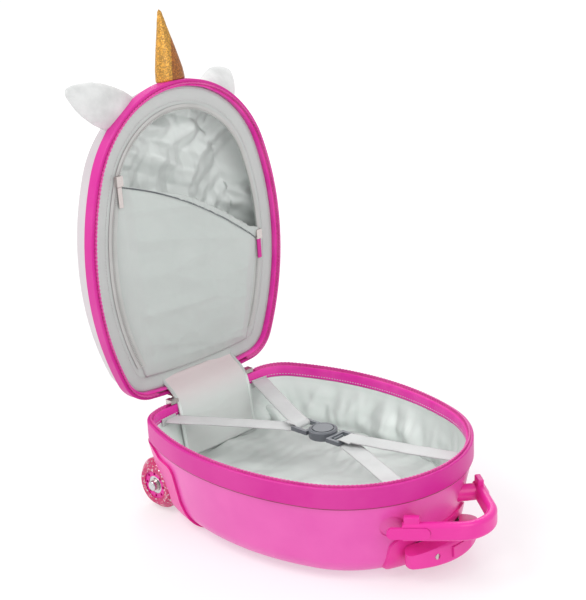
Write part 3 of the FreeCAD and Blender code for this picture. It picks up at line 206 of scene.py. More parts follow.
class Finish:
    """Material whose nodes are added one at a time."""

    def __init__(self, name, **constants):
        self.name = name
        self.material = bpy.data.materials.new(name + FINISHED)
        self.material.use_nodes = True
        self.tree = self.material.node_tree
        self.shader = self.tree.nodes["Principled BSDF"]
        self.feed(**constants)

    def add(self, kind, settings=None, inputs=None, output=0):
        """Value of a new node with the given settings and inputs."""
        made = self.tree.nodes.new(kind)
        for key, setting in (settings or {}).items():
            setattr(made, key, setting)
        for key, value in (inputs or {}).items():
            self.join(made.inputs[key], value)
        return Value(self, made.outputs[output])

    def join(self, socket, value):
        """Link a value to a socket, or set a plain number or colour on it."""
        if isinstance(value, Value):
            self.tree.links.new(value.socket, socket)
        elif socket.type == "RGBA" and len(value) == 3:
            socket.default_value = (*value, 1.0)
        else:
            socket.default_value = value

    def feed(self, **values):
        """Give values to the shader's inputs, named with underscores."""
        for key, value in values.items():
            self.join(self.shader.inputs[key.replace("_", " ").title().replace("Ior", "IOR")], value)
        return self

    def along(self, vector, axis):
        return self.add("ShaderNodeSeparateXYZ", {}, {0: vector}, axis)

    def place(self, axis=None):
        """Place on the object, or its distance along one axis."""
        spot = self.add("ShaderNodeTexCoord", output="Object")
        return self.along(spot, axis) if axis else spot

    def facing(self, axis):
        """How far the surface faces along an axis of the object."""
        return self.along(self.add("ShaderNodeTexCoord", output="Normal"), axis)

    def stretched(self, scale):
        """Place on the object, scaled differently along each axis."""
        return self.add("ShaderNodeMapping", {}, {0: self.place(), 3: scale})

    def grain(self, scale, detail=3.0, spot=None):
        """Cloudy value with a given number of spots to the metre."""
        return self.add("ShaderNodeTexNoise", {},
                        {"Vector": spot or self.place(), "Scale": scale, "Detail": detail})

    def flakes(self, scale):
        """Small flat grains, each with a chance colour."""
        return self.add("ShaderNodeTexVoronoi", {}, {"Vector": self.place(), "Scale": scale}, "Color")

    def channel(self, tint, index):
        return self.add("ShaderNodeSeparateColor", {}, {0: tint}, index)

    def mix(self, share, first, second):
        return self.add("ShaderNodeMix", {"data_type": "RGBA"}, {0: share, 6: first, 7: second}, 2)

    def raised(self, height, strength, distance):
        """Relief on the surface that follows a value."""
        self.feed(Normal=self.add("ShaderNodeBump", {},
                                  {"Height": height, "Strength": strength, "Distance": distance}))
        return self


def toned(tint, share):
    """Tint made darker by a share below 1, or brighter by one above it."""
    return tuple(part * share for part in tint)


def paler(tint, share):
    """Tint moved a share of the way to white."""
    return tuple(part + (1.0 - part) * share for part in tint)


def moulded(name, tint, rough, grain=900.0, strength=0.06, coat=0.25):
    """Satin plastic with a fine moulded grain and slight wear."""
    finish = Finish(name, coat_weight=coat, coat_roughness=0.25, specular_ior_level=0.3 + 0.5 * coat)
    wear = finish.grain(14.0, 4.0)
    pores = finish.grain(grain, 2.0)
    finish.feed(base_color=finish.mix(wear.above(0.3, 0.75), toned(tint, 0.94), paler(tint, 0.025)),
                roughness=wear * 0.10 + pores * 0.05 + (rough - 0.07))
    return finish.raised(pores, strength, 0.0004)


def woven(name, tint, rough, pitch, strength=0.35, sheen=0.25, shine=0.3):
    """Plain weave: two sets of threads crossing at right angles."""
    finish = Finish(name, sheen_weight=sheen, sheen_roughness=0.4, specular_ior_level=shine)
    turns = math.tau / pitch
    threads = [(finish.place(axis) * turns).sine() for axis in "XYZ"]
    weave = threads[0] * threads[1] + threads[1] * threads[2] + threads[2] * threads[0]
    cloud = finish.grain(30.0, 5.0)
    finish.feed(base_color=finish.mix(cloud.above(0.25, 0.8), toned(tint, 0.91), paler(tint, 0.06)),
                roughness=cloud * 0.2 + (rough - 0.1))
    return finish.raised(weave * 0.5 + cloud * 0.6, strength, 0.0003)


def polished(name, tint, rough, stretch):
    """Metal with fine scratches along one direction."""
    finish = Finish(name, metallic=1.0)
    scratch = finish.grain(1.0, 4.0, finish.stretched(stretch))
    finish.feed(base_color=finish.mix(scratch, toned(tint, 0.86), paler(tint, 0.12)),
                roughness=scratch * 0.22 + (rough - 0.1))
    return finish.raised(scratch, 0.06, 0.0002)


def clear_glitter(name, tint):
    """Clear soft plastic with bright flakes in it."""
    finish = Finish(name, transmission_weight=0.12, ior=1.45, subsurface_weight=0.15, subsurface_scale=0.01)
    shine = finish.channel(finish.flakes(620.0), 0)
    bright = shine.above(0.84, 0.90)
    finish.feed(base_color=finish.mix(bright, tint, paler(tint, 0.60)),
                roughness=0.34 - bright * 0.2, metallic=bright * 0.45)
    return finish.raised(shine * bright, 0.25, 0.0004)


def sequinned(name, tint, shade):
    """Cloth of two sewn panels covered with metal glitter, each grain facing its own way; the panel on one
    side of the seam is painted darker, a painted shade.
    """
    finish = Finish(name, specular_ior_level=0.6)
    grain = finish.flakes(700.0)
    pick, other = finish.channel(grain, 0), finish.channel(grain, 1)
    patch = finish.grain(60.0, 3.0)
    bright = (pick * 0.7 + patch * 0.5).above(0.35, 0.95)
    # Painted shade: the panel past the seam takes the darker, shaded gold.
    panel = (finish.place("X") * 0.71 + finish.place("Y") * 0.70 + 0.1498).above(0.0015, 0.0024)
    dark = finish.mix(panel, toned(tint, 0.50), toned(shade, 0.40))
    light = finish.mix(panel, tint, toned(shade, 0.85))
    finish.feed(base_color=finish.mix(bright, dark, light),
                roughness=other * 0.35 + 0.25, metallic=bright * 0.35 + 0.25)
    return finish.raised(pick + other * 0.6, 0.75, 0.0008)


def furry(name, tint):
    """Short white pile with soft shading."""
    finish = Finish(name, sheen_weight=0.5, sheen_roughness=0.5, specular_ior_level=0.15)
    pile, cloud = finish.grain(700.0, 3.0), finish.grain(40.0, 3.0)
    finish.feed(base_color=finish.mix(cloud.above(0.3, 0.7), toned(tint, 0.95), paler(tint, 0.3)),
                roughness=pile * 0.2 + 0.7)
    return finish.raised(pile + cloud * 0.8, 0.5, 0.0009)


def lined(name, tint):
    """Nylon lining, coloured brighter inside the base than on the lid, with painted sheen on folds that face
    one way and painted shade on the base's floor.
    """
    finish = woven(name, tint, 0.50, 0.0010, 0.16)
    share, cloud = finish.place("Z").above(0.112, 0.130), finish.grain(34.0, 5.0)
    # Painted sheen: the colour follows which way each fold faces along the case.
    sheen = (finish.facing("X") + cloud * 0.5).above(-0.20, 0.70)
    # Painted light and painted shade: the base's walls are brightened against the shade inside the base, its
    # floor less so.
    wall = finish.mix(sheen, toned(tint, 1.08), toned(tint, 1.50))
    ground = finish.mix(sheen, toned(tint, 0.90), toned(tint, 1.22))
    base = finish.mix(finish.place("Z").above(0.049, 0.062), ground, wall)
    finish.feed(base_color=finish.mix(share, base, finish.mix(cloud, toned(tint, 0.94), paler(tint, 0.05))))
    return finish


def crisp(name, tint):
    """Shiny nylon whose folds facing one side are coloured lighter, a painted sheen."""
    finish = woven(name, tint, 0.34, 0.0010, 0.10, 0.25, 0.6)
    # Painted sheen: the colour follows which way each fold faces across the case.
    sheen = (finish.facing("Y") + finish.grain(34.0, 5.0) * 0.5).above(-0.25, 0.75)
    finish.feed(base_color=finish.mix(sheen, toned(tint, 1.22), toned(tint, 0.94)))
    return finish


def rising(name, tint, clean):
    """Hinge cloth that is pinker towards the lid."""
    finish = woven(name, tint, 0.6, 0.0011, 0.3)
    share = finish.place("Z").above(0.108, 0.140)
    cloud = finish.grain(45.0, 4.0)
    finish.feed(base_color=finish.mix(share * 0.8 + cloud * 0.2, clean, toned(tint, 0.96)))
    return finish


def make_finishes(tints):
    """One material for every slot of the record."""
    made = [
        moulded("pink_shell", tints.shell, 0.34),
        moulded("pink_trim", tints.trim, 0.40, 1500.0, 0.12, 0.05),
        moulded("pink_gloss", tints.gloss, 0.32, 900.0, 0.06, 0.12),
        moulded("white_shell", tints.white, 0.36),
        lined("lining", tints.lining),
        crisp("pocket_cloth", paler(tints.lining, 0.20)),
        woven("binding", tints.binding, 0.55, 0.0013, 0.5),
        woven("zip_dark", tints.zip, 0.42, 0.0012, 0.3),
        woven("zip_grey", tints.pocket_zip, 0.45, 0.0012, 0.3),
        polished("metal", tints.metal, 0.24, (900.0, 900.0, 120.0)),
        polished("steel", tints.steel, 0.26, (700.0, 700.0, 700.0)),
        polished("tube", tints.tube, 0.30, (40.0, 2500.0, 2500.0)),
        clear_glitter("tyre", tints.tyre),
        woven("webbing", tints.webbing, 0.66, 0.0022, 0.6),
        moulded("buckle_grey", tints.buckle, 0.42, 1300.0, 0.12),
        rising("hinge_cloth", tints.hinge, toned(tints.lining, 1.30)),
        woven("hinge_red", tints.red, 0.5, 0.0012, 0.4),
        sequinned("gold", tints.gold, tints.copper),
        furry("plush", tints.plush),
        moulded("board", tints.board, 0.7, 300.0, 0.2),
        moulded("grey_plastic", toned(tints.buckle, 0.8), 0.5, 1300.0, 0.12),
    ]
    return {finish.name: finish.material for finish in made}


# Shapes


def outward(angle):
    """Level direction at a bearing."""
    return Vector((math.cos(angle), math.sin(angle), 0))


def face_out(bm):
    bmesh.ops.recalc_face_normals(bm, faces=bm.faces)


def fill_holes(bm):
    bmesh.ops.holes_fill(bm, edges=[edge for edge in bm.edges if edge.is_boundary])


def chain(bm, places, closed):
    """Points joined in a line or a loop, as vertices and edges."""
    spots = [bm.verts.new(place) for place in places]
    after = spots[1:] + (spots[:1] if closed else [])
    return spots + [bm.edges.new(pair) for pair in zip(spots, after)]


class Case:
    """Rim outline, heights and hinge that every soft piece follows."""

    def __init__(self, sizes):
        self.sizes = sizes
        half, drop = sizes.case_width / 2, sizes.side_drop
        tip, side = half - sizes.tip_narrowing, half + drop
        corner, end = sizes.corner_radius, sizes.end_radius
        tip_at = Vector((sizes.case_length / 2 - tip, 0))
        end_at = Vector((end - sizes.case_length / 2, 0))
        side_at = Vector((tip_at.x - math.sqrt((side - tip) ** 2 - drop ** 2), -drop))
        span = end_at - side_at
        reach, other = side - corner, end - corner
        foot = (reach ** 2 - other ** 2 + span.length_squared) / (2 * span.length)
        lift = math.sqrt(reach ** 2 - foot ** 2)
        unit = span.normalized()
        corner_at = side_at + unit * foot + Vector((-unit.y, unit.x)) * lift

        def bearing(point, centre):
            return math.atan2(point.y - centre.y, point.x - centre.x)

        first, second = bearing(tip_at, side_at), bearing(corner_at, side_at)
        third = bearing(corner_at, end_at)
        flip = Vector((1, -1))
        self.arcs = [
            (tip_at, tip, -first, 2 * first),
            (side_at, side, first, second - first),
            (corner_at, corner, second, third - second),
            (end_at, end, third, 2 * (math.pi - third)),
            (corner_at * flip, corner, -third, third - second),
            (side_at * flip, side, -second, second - first),
        ]
        self.rim = sizes.rim_height
        self.fold = self.rim + sizes.half_gap
        self.lid_rim = self.fold + sizes.half_gap
        self.hinge = Vector((-sizes.case_length / 2 - sizes.hinge_reach, 0, self.fold))

    def walk(self, inset, pitch):
        """Evenly spaced points on an inset outline, each with its outward direction."""
        runs = [(radius - inset) * sweep for _, radius, _, sweep in self.arcs]
        count = round(sum(runs) / pitch)
        for index in range(count):
            left = sum(runs) * index / count
            for (centre, radius, start, _), run in zip(self.arcs, runs):
                if left <= run:
                    break
                left -= run
            angle = start + left / (radius - inset)
            out = outward(angle)
            yield centre + out.to_2d() * (radius - inset), out

    def locate(self, point):
        """Inset, distance along the rim and inward direction of a point near the wall."""
        run, found = 0.0, (self.sizes.corner_radius, 0.0, Vector((0, 0, 0)))
        for centre, radius, start, sweep in self.arcs:
            off = Vector((point.x, point.y)) - centre
            turn = (math.atan2(off.y, off.x) - start + 1e-6) % math.tau
            inset = radius - off.length
            if turn <= sweep + 2e-6 and inset < found[0]:
                found = inset, run + radius * turn, Vector((*-off.normalized(), 0))
            run += radius * sweep
        return found

    def half_width(self, inset, along_x):
        """Half the width of an inset outline at a place along the case."""
        for centre, radius, start, sweep in self.arcs[:4]:
            gap = along_x - centre.x
            if abs(gap) > radius - inset:
                continue
            high = centre.y + math.sqrt((radius - inset) ** 2 - gap ** 2)
            turn = (math.atan2(high - centre.y, gap) - start) % math.tau
            if turn <= sweep + 1e-6 and high > 0:
                return high
        return 0.0

    def swept(self, section, closed=True, pitch=0.004):
        """Wall round the rim from a section of (inset, height) points."""
        bm = bmesh.new()
        centre, radius, start, _ = self.arcs[0]
        turn = Matrix.Rotation(start, 3, "Z")
        places = [turn @ Vector((radius - inset, 0, height)) + centre.to_3d() for inset, height in section]
        moving = chain(bm, places, closed)
        for centre, radius, _, sweep in self.arcs:
            steps = max(2, round(radius * sweep / pitch))
            moving = bmesh.ops.spin(bm, geom=moving, cent=centre.to_3d(), axis=UP, angle=sweep,
                                    steps=steps, use_merge=False)["geom_last"]
        bmesh.ops.remove_doubles(bm, verts=bm.verts, dist=1e-5)
        face_out(bm)
        return bm

    def swung(self, bm):
        """Turn a shape drawn on the closed lid to the open lid."""
        turn = Matrix.Rotation(-self.sizes.lid_angle, 3, "Y")
        bmesh.ops.rotate(bm, verts=bm.verts, cent=self.hinge, matrix=turn)
        return bm

    def on_lid(self, bm):
        """Turn a shape drawn on the base rim to the same place on the open lid."""
        flip = Matrix.Translation(UP * 2 * self.fold) @ Matrix.Diagonal((1, 1, -1, 1))
        bmesh.ops.transform(bm, matrix=flip, verts=bm.verts)
        bmesh.ops.reverse_faces(bm, faces=bm.faces)
        return self.swung(bm)

    def lid_point(self, point):
        """Where a point drawn on the closed lid is on the open lid."""
        turn = Matrix.Rotation(-self.sizes.lid_angle, 3, "Y")
        return turn @ (Vector(point) - self.hinge) + self.hinge


def oblong(outer, inner, low, top):
    """Four-cornered section of (inset, height) points."""
    return [(outer, low), (outer, top), (inner, top), (inner, low)]


def fine(section, step):
    """Section with points added so that none are further apart than a step."""
    points = [Vector(section[0])]
    for here in section[1:]:
        here, last = Vector(here), points[-1]
        count = max(1, math.ceil((here - last).length / step))
        points += [last.lerp(here, index / count) for index in range(1, count + 1)]
    return points


def smooth(share):
    """Share held between 0 and 1 and eased at both ends."""
    share = min(1.0, max(0.0, share))
    return share * share * (3 - 2 * share)


def folds(spot, seed):
    """Height of pressed folds in thin cloth, from 0 to about 1."""
    spot = spot + Vector((seed * 7.3, seed * 3.1, seed * 5.7))
    near = noise.voronoi(spot)[0]
    ridge = 1 - min(1.0, (near[1] - near[0]) * 1.5)
    return 0.55 * ridge + 0.45 * (0.5 + 0.5 * noise.noise(spot * 0.8))


def crumple(along, up, seed):
    """Height of crisp nylon between straight creases that cross at odd angles, from 0 to about 1."""
    spot, height = Vector((along, up, 0.0)), 0.0
    for index, angle in enumerate((0.35, 1.30, 2.35)):
        turn = angle + 0.2 * seed
        drift = noise.noise(spot * 0.8 + Vector((seed * 7.3, index * 3.1, 0.0)))
        over = spot.x * math.cos(turn) + spot.y * math.sin(turn) + 0.35 * drift
        crease = abs((over * (1 + 0.3 * index) + 0.37 * seed) % 1.0 - 0.5) * 2
        share = smooth(0.5 + 1.1 * noise.noise(spot * 0.55 + Vector((index * 9.1, seed * 2.3, 5.0))))
        height += crease * share
    return height / 2


def smooth_path(points, count=160):
    """Even points on a smooth line through the given ones, each (place, across), and its length."""
    steps = 40
    spots = [Vector(point) for point, _ in points]
    sides = [Vector(side).normalized() for _, side in points]
    line = []
    for index in range(len(spots) - 1):
        a, b = spots[max(0, index - 1)], spots[index]
        c, d = spots[index + 1], spots[min(len(spots) - 1, index + 2)]
        for step in range(steps):
            t = step / steps
            place = 0.5 * (2 * b + (c - a) * t + (2 * a - 5 * b + 4 * c - d) * t ** 2
                           + (3 * b - a - 3 * c + d) * t ** 3)
            line.append((place, sides[index].lerp(sides[index + 1], t).normalized()))
    line.append((spots[-1], sides[-1]))
    runs = [0.0]
    for (here, _), (after, _) in zip(line, line[1:]):
        runs.append(runs[-1] + (after - here).length)
    even, place = [], 0
    for index in range(count + 1):
        goal = runs[-1] * index / count
        while place < len(runs) - 2 and runs[place + 1] < goal:
            place += 1
        t = (goal - runs[place]) / max(1e-9, runs[place + 1] - runs[place])
        even.append((line[place][0].lerp(line[place + 1][0], t),
                     line[place][1].lerp(line[place + 1][1], t).normalized()))
    return even, runs[-1]


def ribbon(points, width, columns=8, rows=160, bm=None):
    """Flat band of even width along a smooth line, and the line's length."""
    line, long = smooth_path(points, rows)
    bm = bm or bmesh.new()
    made = bmesh.ops.create_grid(bm, x_segments=columns, y_segments=rows, size=1.0)["verts"]
    for vert in made:
        place, side = line[round((vert.co.y + 1) / 2 * rows)]
        vert.co = place + side * (vert.co.x * width / 2)
    face_out(bm)
    return bm, long


def add_box(bm, matrix):
    bmesh.ops.create_cube(bm, size=1.0, matrix=matrix)


def frame_at(place, along, out, scale):
    """Matrix at a place with its X along and its Y outwards."""
    along, out = along.normalized(), out.normalized()
    turn = Matrix((along, out, along.cross(out))).transposed().to_4x4()
    return Matrix.Translation(place) @ turn @ Matrix.Diagonal((*scale, 1))


def add_stitch(bm, matrix):
    bmesh.ops.create_icosphere(bm, subdivisions=1, radius=1.0, matrix=matrix)


def sew(bm, case, inset, height, pitch, extents):
    """Row of small rounded stitches on an inset outline."""
    for spot, out in case.walk(inset, pitch):
        add_stitch(bm, frame_at(Vector((spot.x, spot.y, height)), UP.cross(out), out, extents))


def round_off(bm, edges, offset, segments):
    """Rounded bevel along edges."""
    bmesh.ops.bevel(bm, geom=edges, offset=offset, segments=segments, profile=0.5, affect="EDGES",
                    material=-1)


def turned(section, across, steps, closed=False):
    """Shape turned from (radius, height) points about an upright axis beside the middle line."""
    bm = bmesh.new()
    line = chain(bm, [(radius, across, height) for radius, height in section], closed)
    bmesh.ops.spin(bm, geom=line, cent=(0, across, 0), axis=UP, angle=math.tau, steps=steps, use_merge=True)
    return bm


def grid(columns, rows):
    """Flat sheet of squares, from -1 to 1 both ways."""
    bm = bmesh.new()
    bmesh.ops.create_grid(bm, x_segments=columns, y_segments=rows, size=1.0)
    return bm


def mesh_from(name, bm):
    """Mesh of a shape, which is used up."""
    mesh = bpy.data.meshes.new(name)
    bm.to_mesh(mesh)
    bm.free()
    return mesh


def put(name, data):
    """Object in the scene for a mesh, light or camera."""
    thing = bpy.data.objects.new(name, data)
    bpy.context.scene.collection.objects.link(thing)
    return thing


def cast(name, bm, body, slot, replaced=(), shade=True, thick=0.0):
    """Piece made of a shape, riding on a body and standing for CAD nodes."""
    mesh = mesh_from(name, bm)
    mesh.polygons.foreach_set("use_smooth", [shade] * len(mesh.polygons))
    mesh.materials.append(bpy.data.materials[slot + FINISHED])
    thing = put(name, mesh)
    if thick:
        wall = thing.modifiers.new("Thickness", "SOLIDIFY")
        wall.thickness, wall.offset = thick, 0.0
    if replaced:
        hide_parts(*replaced)
    if body:
        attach(thing, body)
    return thing


class SuitcaseStep:
    """What every building step shares"""

    bl_options = {"REGISTER", "UNDO"}

    def execute(self, context):
        self.build(Case(context.scene.suitcase_sizes), context.scene.suitcase_sizes)
        return {"FINISHED"}


class SUITCASE_OT_finishes(bpy.types.Operator):
    """Make the materials and give one to each moulded or metal piece"""

    bl_idname = "suitcase.finishes"
    bl_label = "Finish moulded pieces"

    def execute(self, context):
        made = make_finishes(context.scene.suitcase_colours)
        slots = {row["node"]: row["material_slot"] for row in frame["record"]["subparts"]}
        for name, thing in frame["nodes"].items():
            thing.data.materials.clear()
            thing.data.materials.append(made[slots[name]])
        return {"FINISHED"}


class SUITCASE_OT_rims(SuitcaseStep, bpy.types.Operator):
    """Bind both rims with stitched tape and set the two zip halves in their grooves"""

    bl_idname = "suitcase.rims"
    bl_label = "Bind rims"

    STITCH = (0.0013, 0.00045, 0.00045)
    STITCH_RISE = 0.0032
    TOOTH = (0.0026, 0.0036, 0.0011)
    TOOTH_SLANT = 0.55
    TOOTH_RISE = 0.0006
    NO_ZIP_HALF = 0.075
    # Size and place of the painted shadow line under the band.
    GAP_DROP, GAP_HEIGHT, GAP_OUTER, GAP_INNER = 0.0245, 0.0010, 0.0007, 0.0026
    BINDING_DROP = 0.0014
    TAPE_LOW, TAPE_TOP, TAPE_GAP = 0.0034, 0.0012, 0.0001

    def build(self, case, sizes):
        for body in ("base", "lid"):
            half = case.on_lid if body == "lid" else (lambda shape: shape)
            cast(f"{body}_binding_tape", half(self.binding(case, sizes)), body, "binding",
                 [f"{body}_binding"])
            cast(f"{body}_stitches", half(self.stitches(case, sizes)), body, "plush")
            cast(f"{body}_zip_tape", half(self.tape(case, sizes)), body, "zip_dark", [f"{body}_zip_chain"])
            cast(f"{body}_zip_teeth", half(self.teeth(case, sizes)), body, "zip_dark", shade=False)
        # A thin dark ring stands for the shadow under the band: painted shadow.
        cast("base_band_gap", self.gap(case), "base", "hinge_red")

    def gap(self, case):
        """Painted shadow: a thin dark ring under the rim's band, where the band overhangs the shell."""
        low = case.rim - self.GAP_DROP
        return case.swept(oblong(self.GAP_OUTER, self.GAP_INNER, low, low + self.GAP_HEIGHT))

    def binding(self, case, sizes):
        """Folded tape with a soft top edge and a sewn waist."""
        low, top = case.rim - sizes.binding_height, case.rim - self.BINDING_DROP
        outer, inner = sizes.tongue_in, sizes.binding_in
        bulge = [(outer, low), (outer, top - 0.0006), (outer + 0.0005, top), (inner - 0.0008, top),
                 (inner - 0.0001, top - 0.0008), (inner, top - 0.005), (inner - 0.0003, low + 0.0035),
                 (inner, low + 0.0016), (inner - 0.0004, low)]
        bm = case.swept(bulge, pitch=0.003)
        for vert in bm.verts:
            inset, run, inward = case.locate(vert.co)
            if inset > outer + 0.001:
                vert.co += inward * 0.0004 * noise.noise(Vector((run * 90, vert.co.z * 160, 2)))
        return bm

    def stitches(self, case, sizes):
        """Row of stitches low on the binding."""
        bm = bmesh.new()
        low = case.rim - sizes.binding_height
        sew(bm, case, sizes.binding_in, low + self.STITCH_RISE, sizes.stitch_pitch, self.STITCH)
        return bm

    def open_part(self, spot):
        """True where the zip is left out for the cloth hinge."""
        return spot.x < 0 and abs(spot.y) < self.NO_ZIP_HALF

    def tape(self, case, sizes):
        """Zip tape in the groove between the band and the binding."""
        inner, outer = sizes.tongue_in - self.TAPE_GAP, sizes.band_wall + self.TAPE_GAP
        bm = case.swept(oblong(outer, inner, case.rim - self.TAPE_LOW, case.rim - self.TAPE_TOP))
        gone = [face for face in bm.faces if self.open_part(face.calc_center_median())]
        bmesh.ops.delete(bm, geom=gone, context="FACES")
        fill_holes(bm)
        return bm

    def teeth(self, case, sizes):
        """Zip teeth that slant by turns to either side."""
        bm = bmesh.new()
        middle = (sizes.band_wall + sizes.tongue_in) / 2
        for index, (spot, out) in enumerate(case.walk(middle, sizes.tooth_pitch)):
            if self.open_part(spot):
                continue
            along = UP.cross(out) + out * (self.TOOTH_SLANT if index % 2 else -self.TOOTH_SLANT)
            place = Vector((spot.x, spot.y, case.rim + self.TOOTH_RISE))
            add_box(bm, frame_at(place, along, UP, self.TOOTH))
        return bm


class SUITCASE_OT_linings(SuitcaseStep, bpy.types.Operator):
    """Hang the loose nylon linings in the base and in the lid"""

    bl_idname = "suitcase.linings"
    bl_label = "Hang linings"

    # Walls are (inset, height) points on the closed case, from the sewn edge to the middle.
    BASE_WALL = ((0.0076, 0.1046), (0.0080, 0.098), (0.0104, 0.080), (0.0147, 0.060), (0.0172, 0.0505),
                 (0.0195, 0.0468), (0.0240, 0.0456), (0.0340, 0.0453), (0.0430, 0.0453))
    BASE_EDGE, BASE_FLOOR = 0.1046, 0.0453
    LID_WALL = ((0.0078, 0.1416), (0.0081, 0.1450), (0.0100, 0.150), (0.0123, 0.157), (0.0160, 0.1670),
                (0.0228, 0.1733), (0.0345, 0.1815), (0.0430, 0.1875))
    LID_EDGE, LID_FLOOR = 0.1416, 0.1875
    LEAST_RING = 0.02
    WELL_GAP, WELL_TAPER, WELL_DEPTH, WELL_FACE = 0.0085, 0.003, 0.060, 0.0785

    def build(self, case, sizes):
        self.base(case, sizes)
        self.lid(case, sizes)

    def inner(self, bm, rounds):
        """Carry the lining's inner edge on to the middle in shrinking rings and close it."""
        for index in range(rounds):
            edges = [edge for edge in bm.edges if edge.is_boundary and self.core(edge)]
            grown = bmesh.ops.extrude_edge_only(bm, edges=edges)["geom"]
            ring = [item for item in grown if isinstance(item, bmesh.types.BMVert)]
            middle = sum((vert.co for vert in ring), Vector()) / len(ring)
            share = max(self.LEAST_RING, (rounds - index - 1) / (rounds - index))
            bmesh.ops.scale(bm, vec=(share, share, 1), space=Matrix.Translation(-middle), verts=ring)
        edges = [edge for edge in bm.edges if edge.is_boundary and self.core(edge)]
        bmesh.ops.contextual_create(bm, geom=edges)
        face_out(bm)

    def core(self, edge):
        """True on the lining's inner edge, away from the rim."""
        return abs(edge.verts[0].co.z - self.floor) < 0.004

    def base(self, case, sizes):
        """Lining that hangs in deep creases on the wall, flat behind the hinge panel."""
        bm = case.swept(fine(self.BASE_WALL, 0.0028), closed=False, pitch=0.0034)
        self.floor = self.BASE_FLOOR
        self.inner(bm, 34)
        for vert in bm.verts:
            _, run, inward = case.locate(vert.co)
            height = vert.co.z
            down = self.BASE_EDGE - height
            if height > self.floor + 0.0004:
                # Folds grow below the sewn edge and ease off above the floor.
                drop = smooth(down / 0.035) * (1 - 0.55 * smooth((0.062 - height) / 0.016))
                if vert.co.x < 0:
                    # The hinge panel holds the cloth behind it almost flat.
                    drop *= 0.04 + 0.96 * smooth((abs(vert.co.y) - sizes.panel_half - 0.002) / 0.014)
                slant = run + 0.5 * down * math.sin(run * 23.0)
                deep = crumple(slant * 19.0, height * 12.0, 1)
                small = crumple(run * 40.0, height * 34.0, 2)
                vert.co += inward * drop * (sizes.lining_slack * deep + 0.0040 * small)
            else:
                deep = crumple(vert.co.x * 13.0, vert.co.y * 13.0, 3)
                small = crumple(vert.co.x * 38.0, vert.co.y * 38.0, 4)
                vert.co.z += 0.0075 * deep + 0.0018 * small
        thing = cast("base_lining_cloth", bm, "base", "lining", ["base_lining"], thick=CLOTH_WALL)
        self.wells(case)

    def wells(self, case):
        """Lining stretched over the inner ends of the two wheel wells."""
        made = []
        for name, side in SIDES.items():
            low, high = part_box(f"tyre_{name}")
            axle = (low + high) / 2
            radius = (high.z - low.z) / 2 + self.WELL_GAP
            bm = bmesh.new()
            turn = Matrix.Rotation(math.radians(-90 * side), 4, "X")
            bmesh.ops.create_cone(bm, cap_ends=True, segments=72, radius1=radius,
                                  radius2=radius - self.WELL_TAPER, depth=self.WELL_DEPTH, matrix=turn)
            middle = side * (self.WELL_FACE + self.WELL_DEPTH / 2)
            bmesh.ops.translate(bm, vec=(axle.x, middle, axle.z), verts=bm.verts)
            bmesh.ops.reverse_faces(bm, faces=bm.faces)
            caps = [edge for edge in bm.edges if abs(edge.verts[0].co.y - edge.verts[1].co.y) < 1e-5]
            inner = [edge for edge in caps if abs(edge.verts[0].co.y) < 0.1]
            round_off(bm, inner, 0.006, 4)
            long = [edge for edge in bm.edges if edge.calc_length() > 0.02]
            bmesh.ops.subdivide_edges(bm, edges=long, cuts=8)
            for vert in bm.verts:
                self.inside(case, vert)
            face_out(bm)
            made.append(cast(f"base_lining_well_{name}", bm, "base", "lining"))
        return made

    def inside(self, case, vert):
        """Bring a point back inside the lining's wall and above its floor."""
        vert.co.z = max(vert.co.z, self.floor)
        least = 0.0076 + 0.0098 * smooth((self.BASE_EDGE - vert.co.z) / 0.058)
        for _ in range(2):
            inset, _, inward = case.locate(vert.co)
            if inset < least:
                vert.co += inward * (least - inset)

    def lid(self, case, sizes):
        """Lining that billows in crisp folds behind the pocket, clear of its surround."""
        bm = case.swept(fine(self.LID_WALL, 0.003), closed=False, pitch=0.0028)
        self.floor = self.LID_FLOOR
        self.inner(bm, 52)
        for vert in bm.verts:
            inset, _, inward = case.locate(vert.co)
            deep = crumple(vert.co.x * 14.0, vert.co.y * 16.0, 5)
            small = crumple(vert.co.x * 34.0, vert.co.y * 38.0, 6)
            share = smooth((vert.co.z - self.LID_EDGE) / 0.03)
            # The closed lid hangs over the base, so a lower place is nearer to the pocket.
            vert.co.z -= share * (0.008 + 0.026 * deep + 0.006 * small)
            vert.co += inward * (0.003 * share * small if inset < 0.044 else 0.0)
            vert.co.z = max(vert.co.z, case.lid_rim + sizes.pocket_depth + 0.0035)
        thing = cast("lid_lining_cloth", case.swung(bm), "lid", "pocket_cloth", ["lid_lining"],
                     thick=CLOTH_WALL)


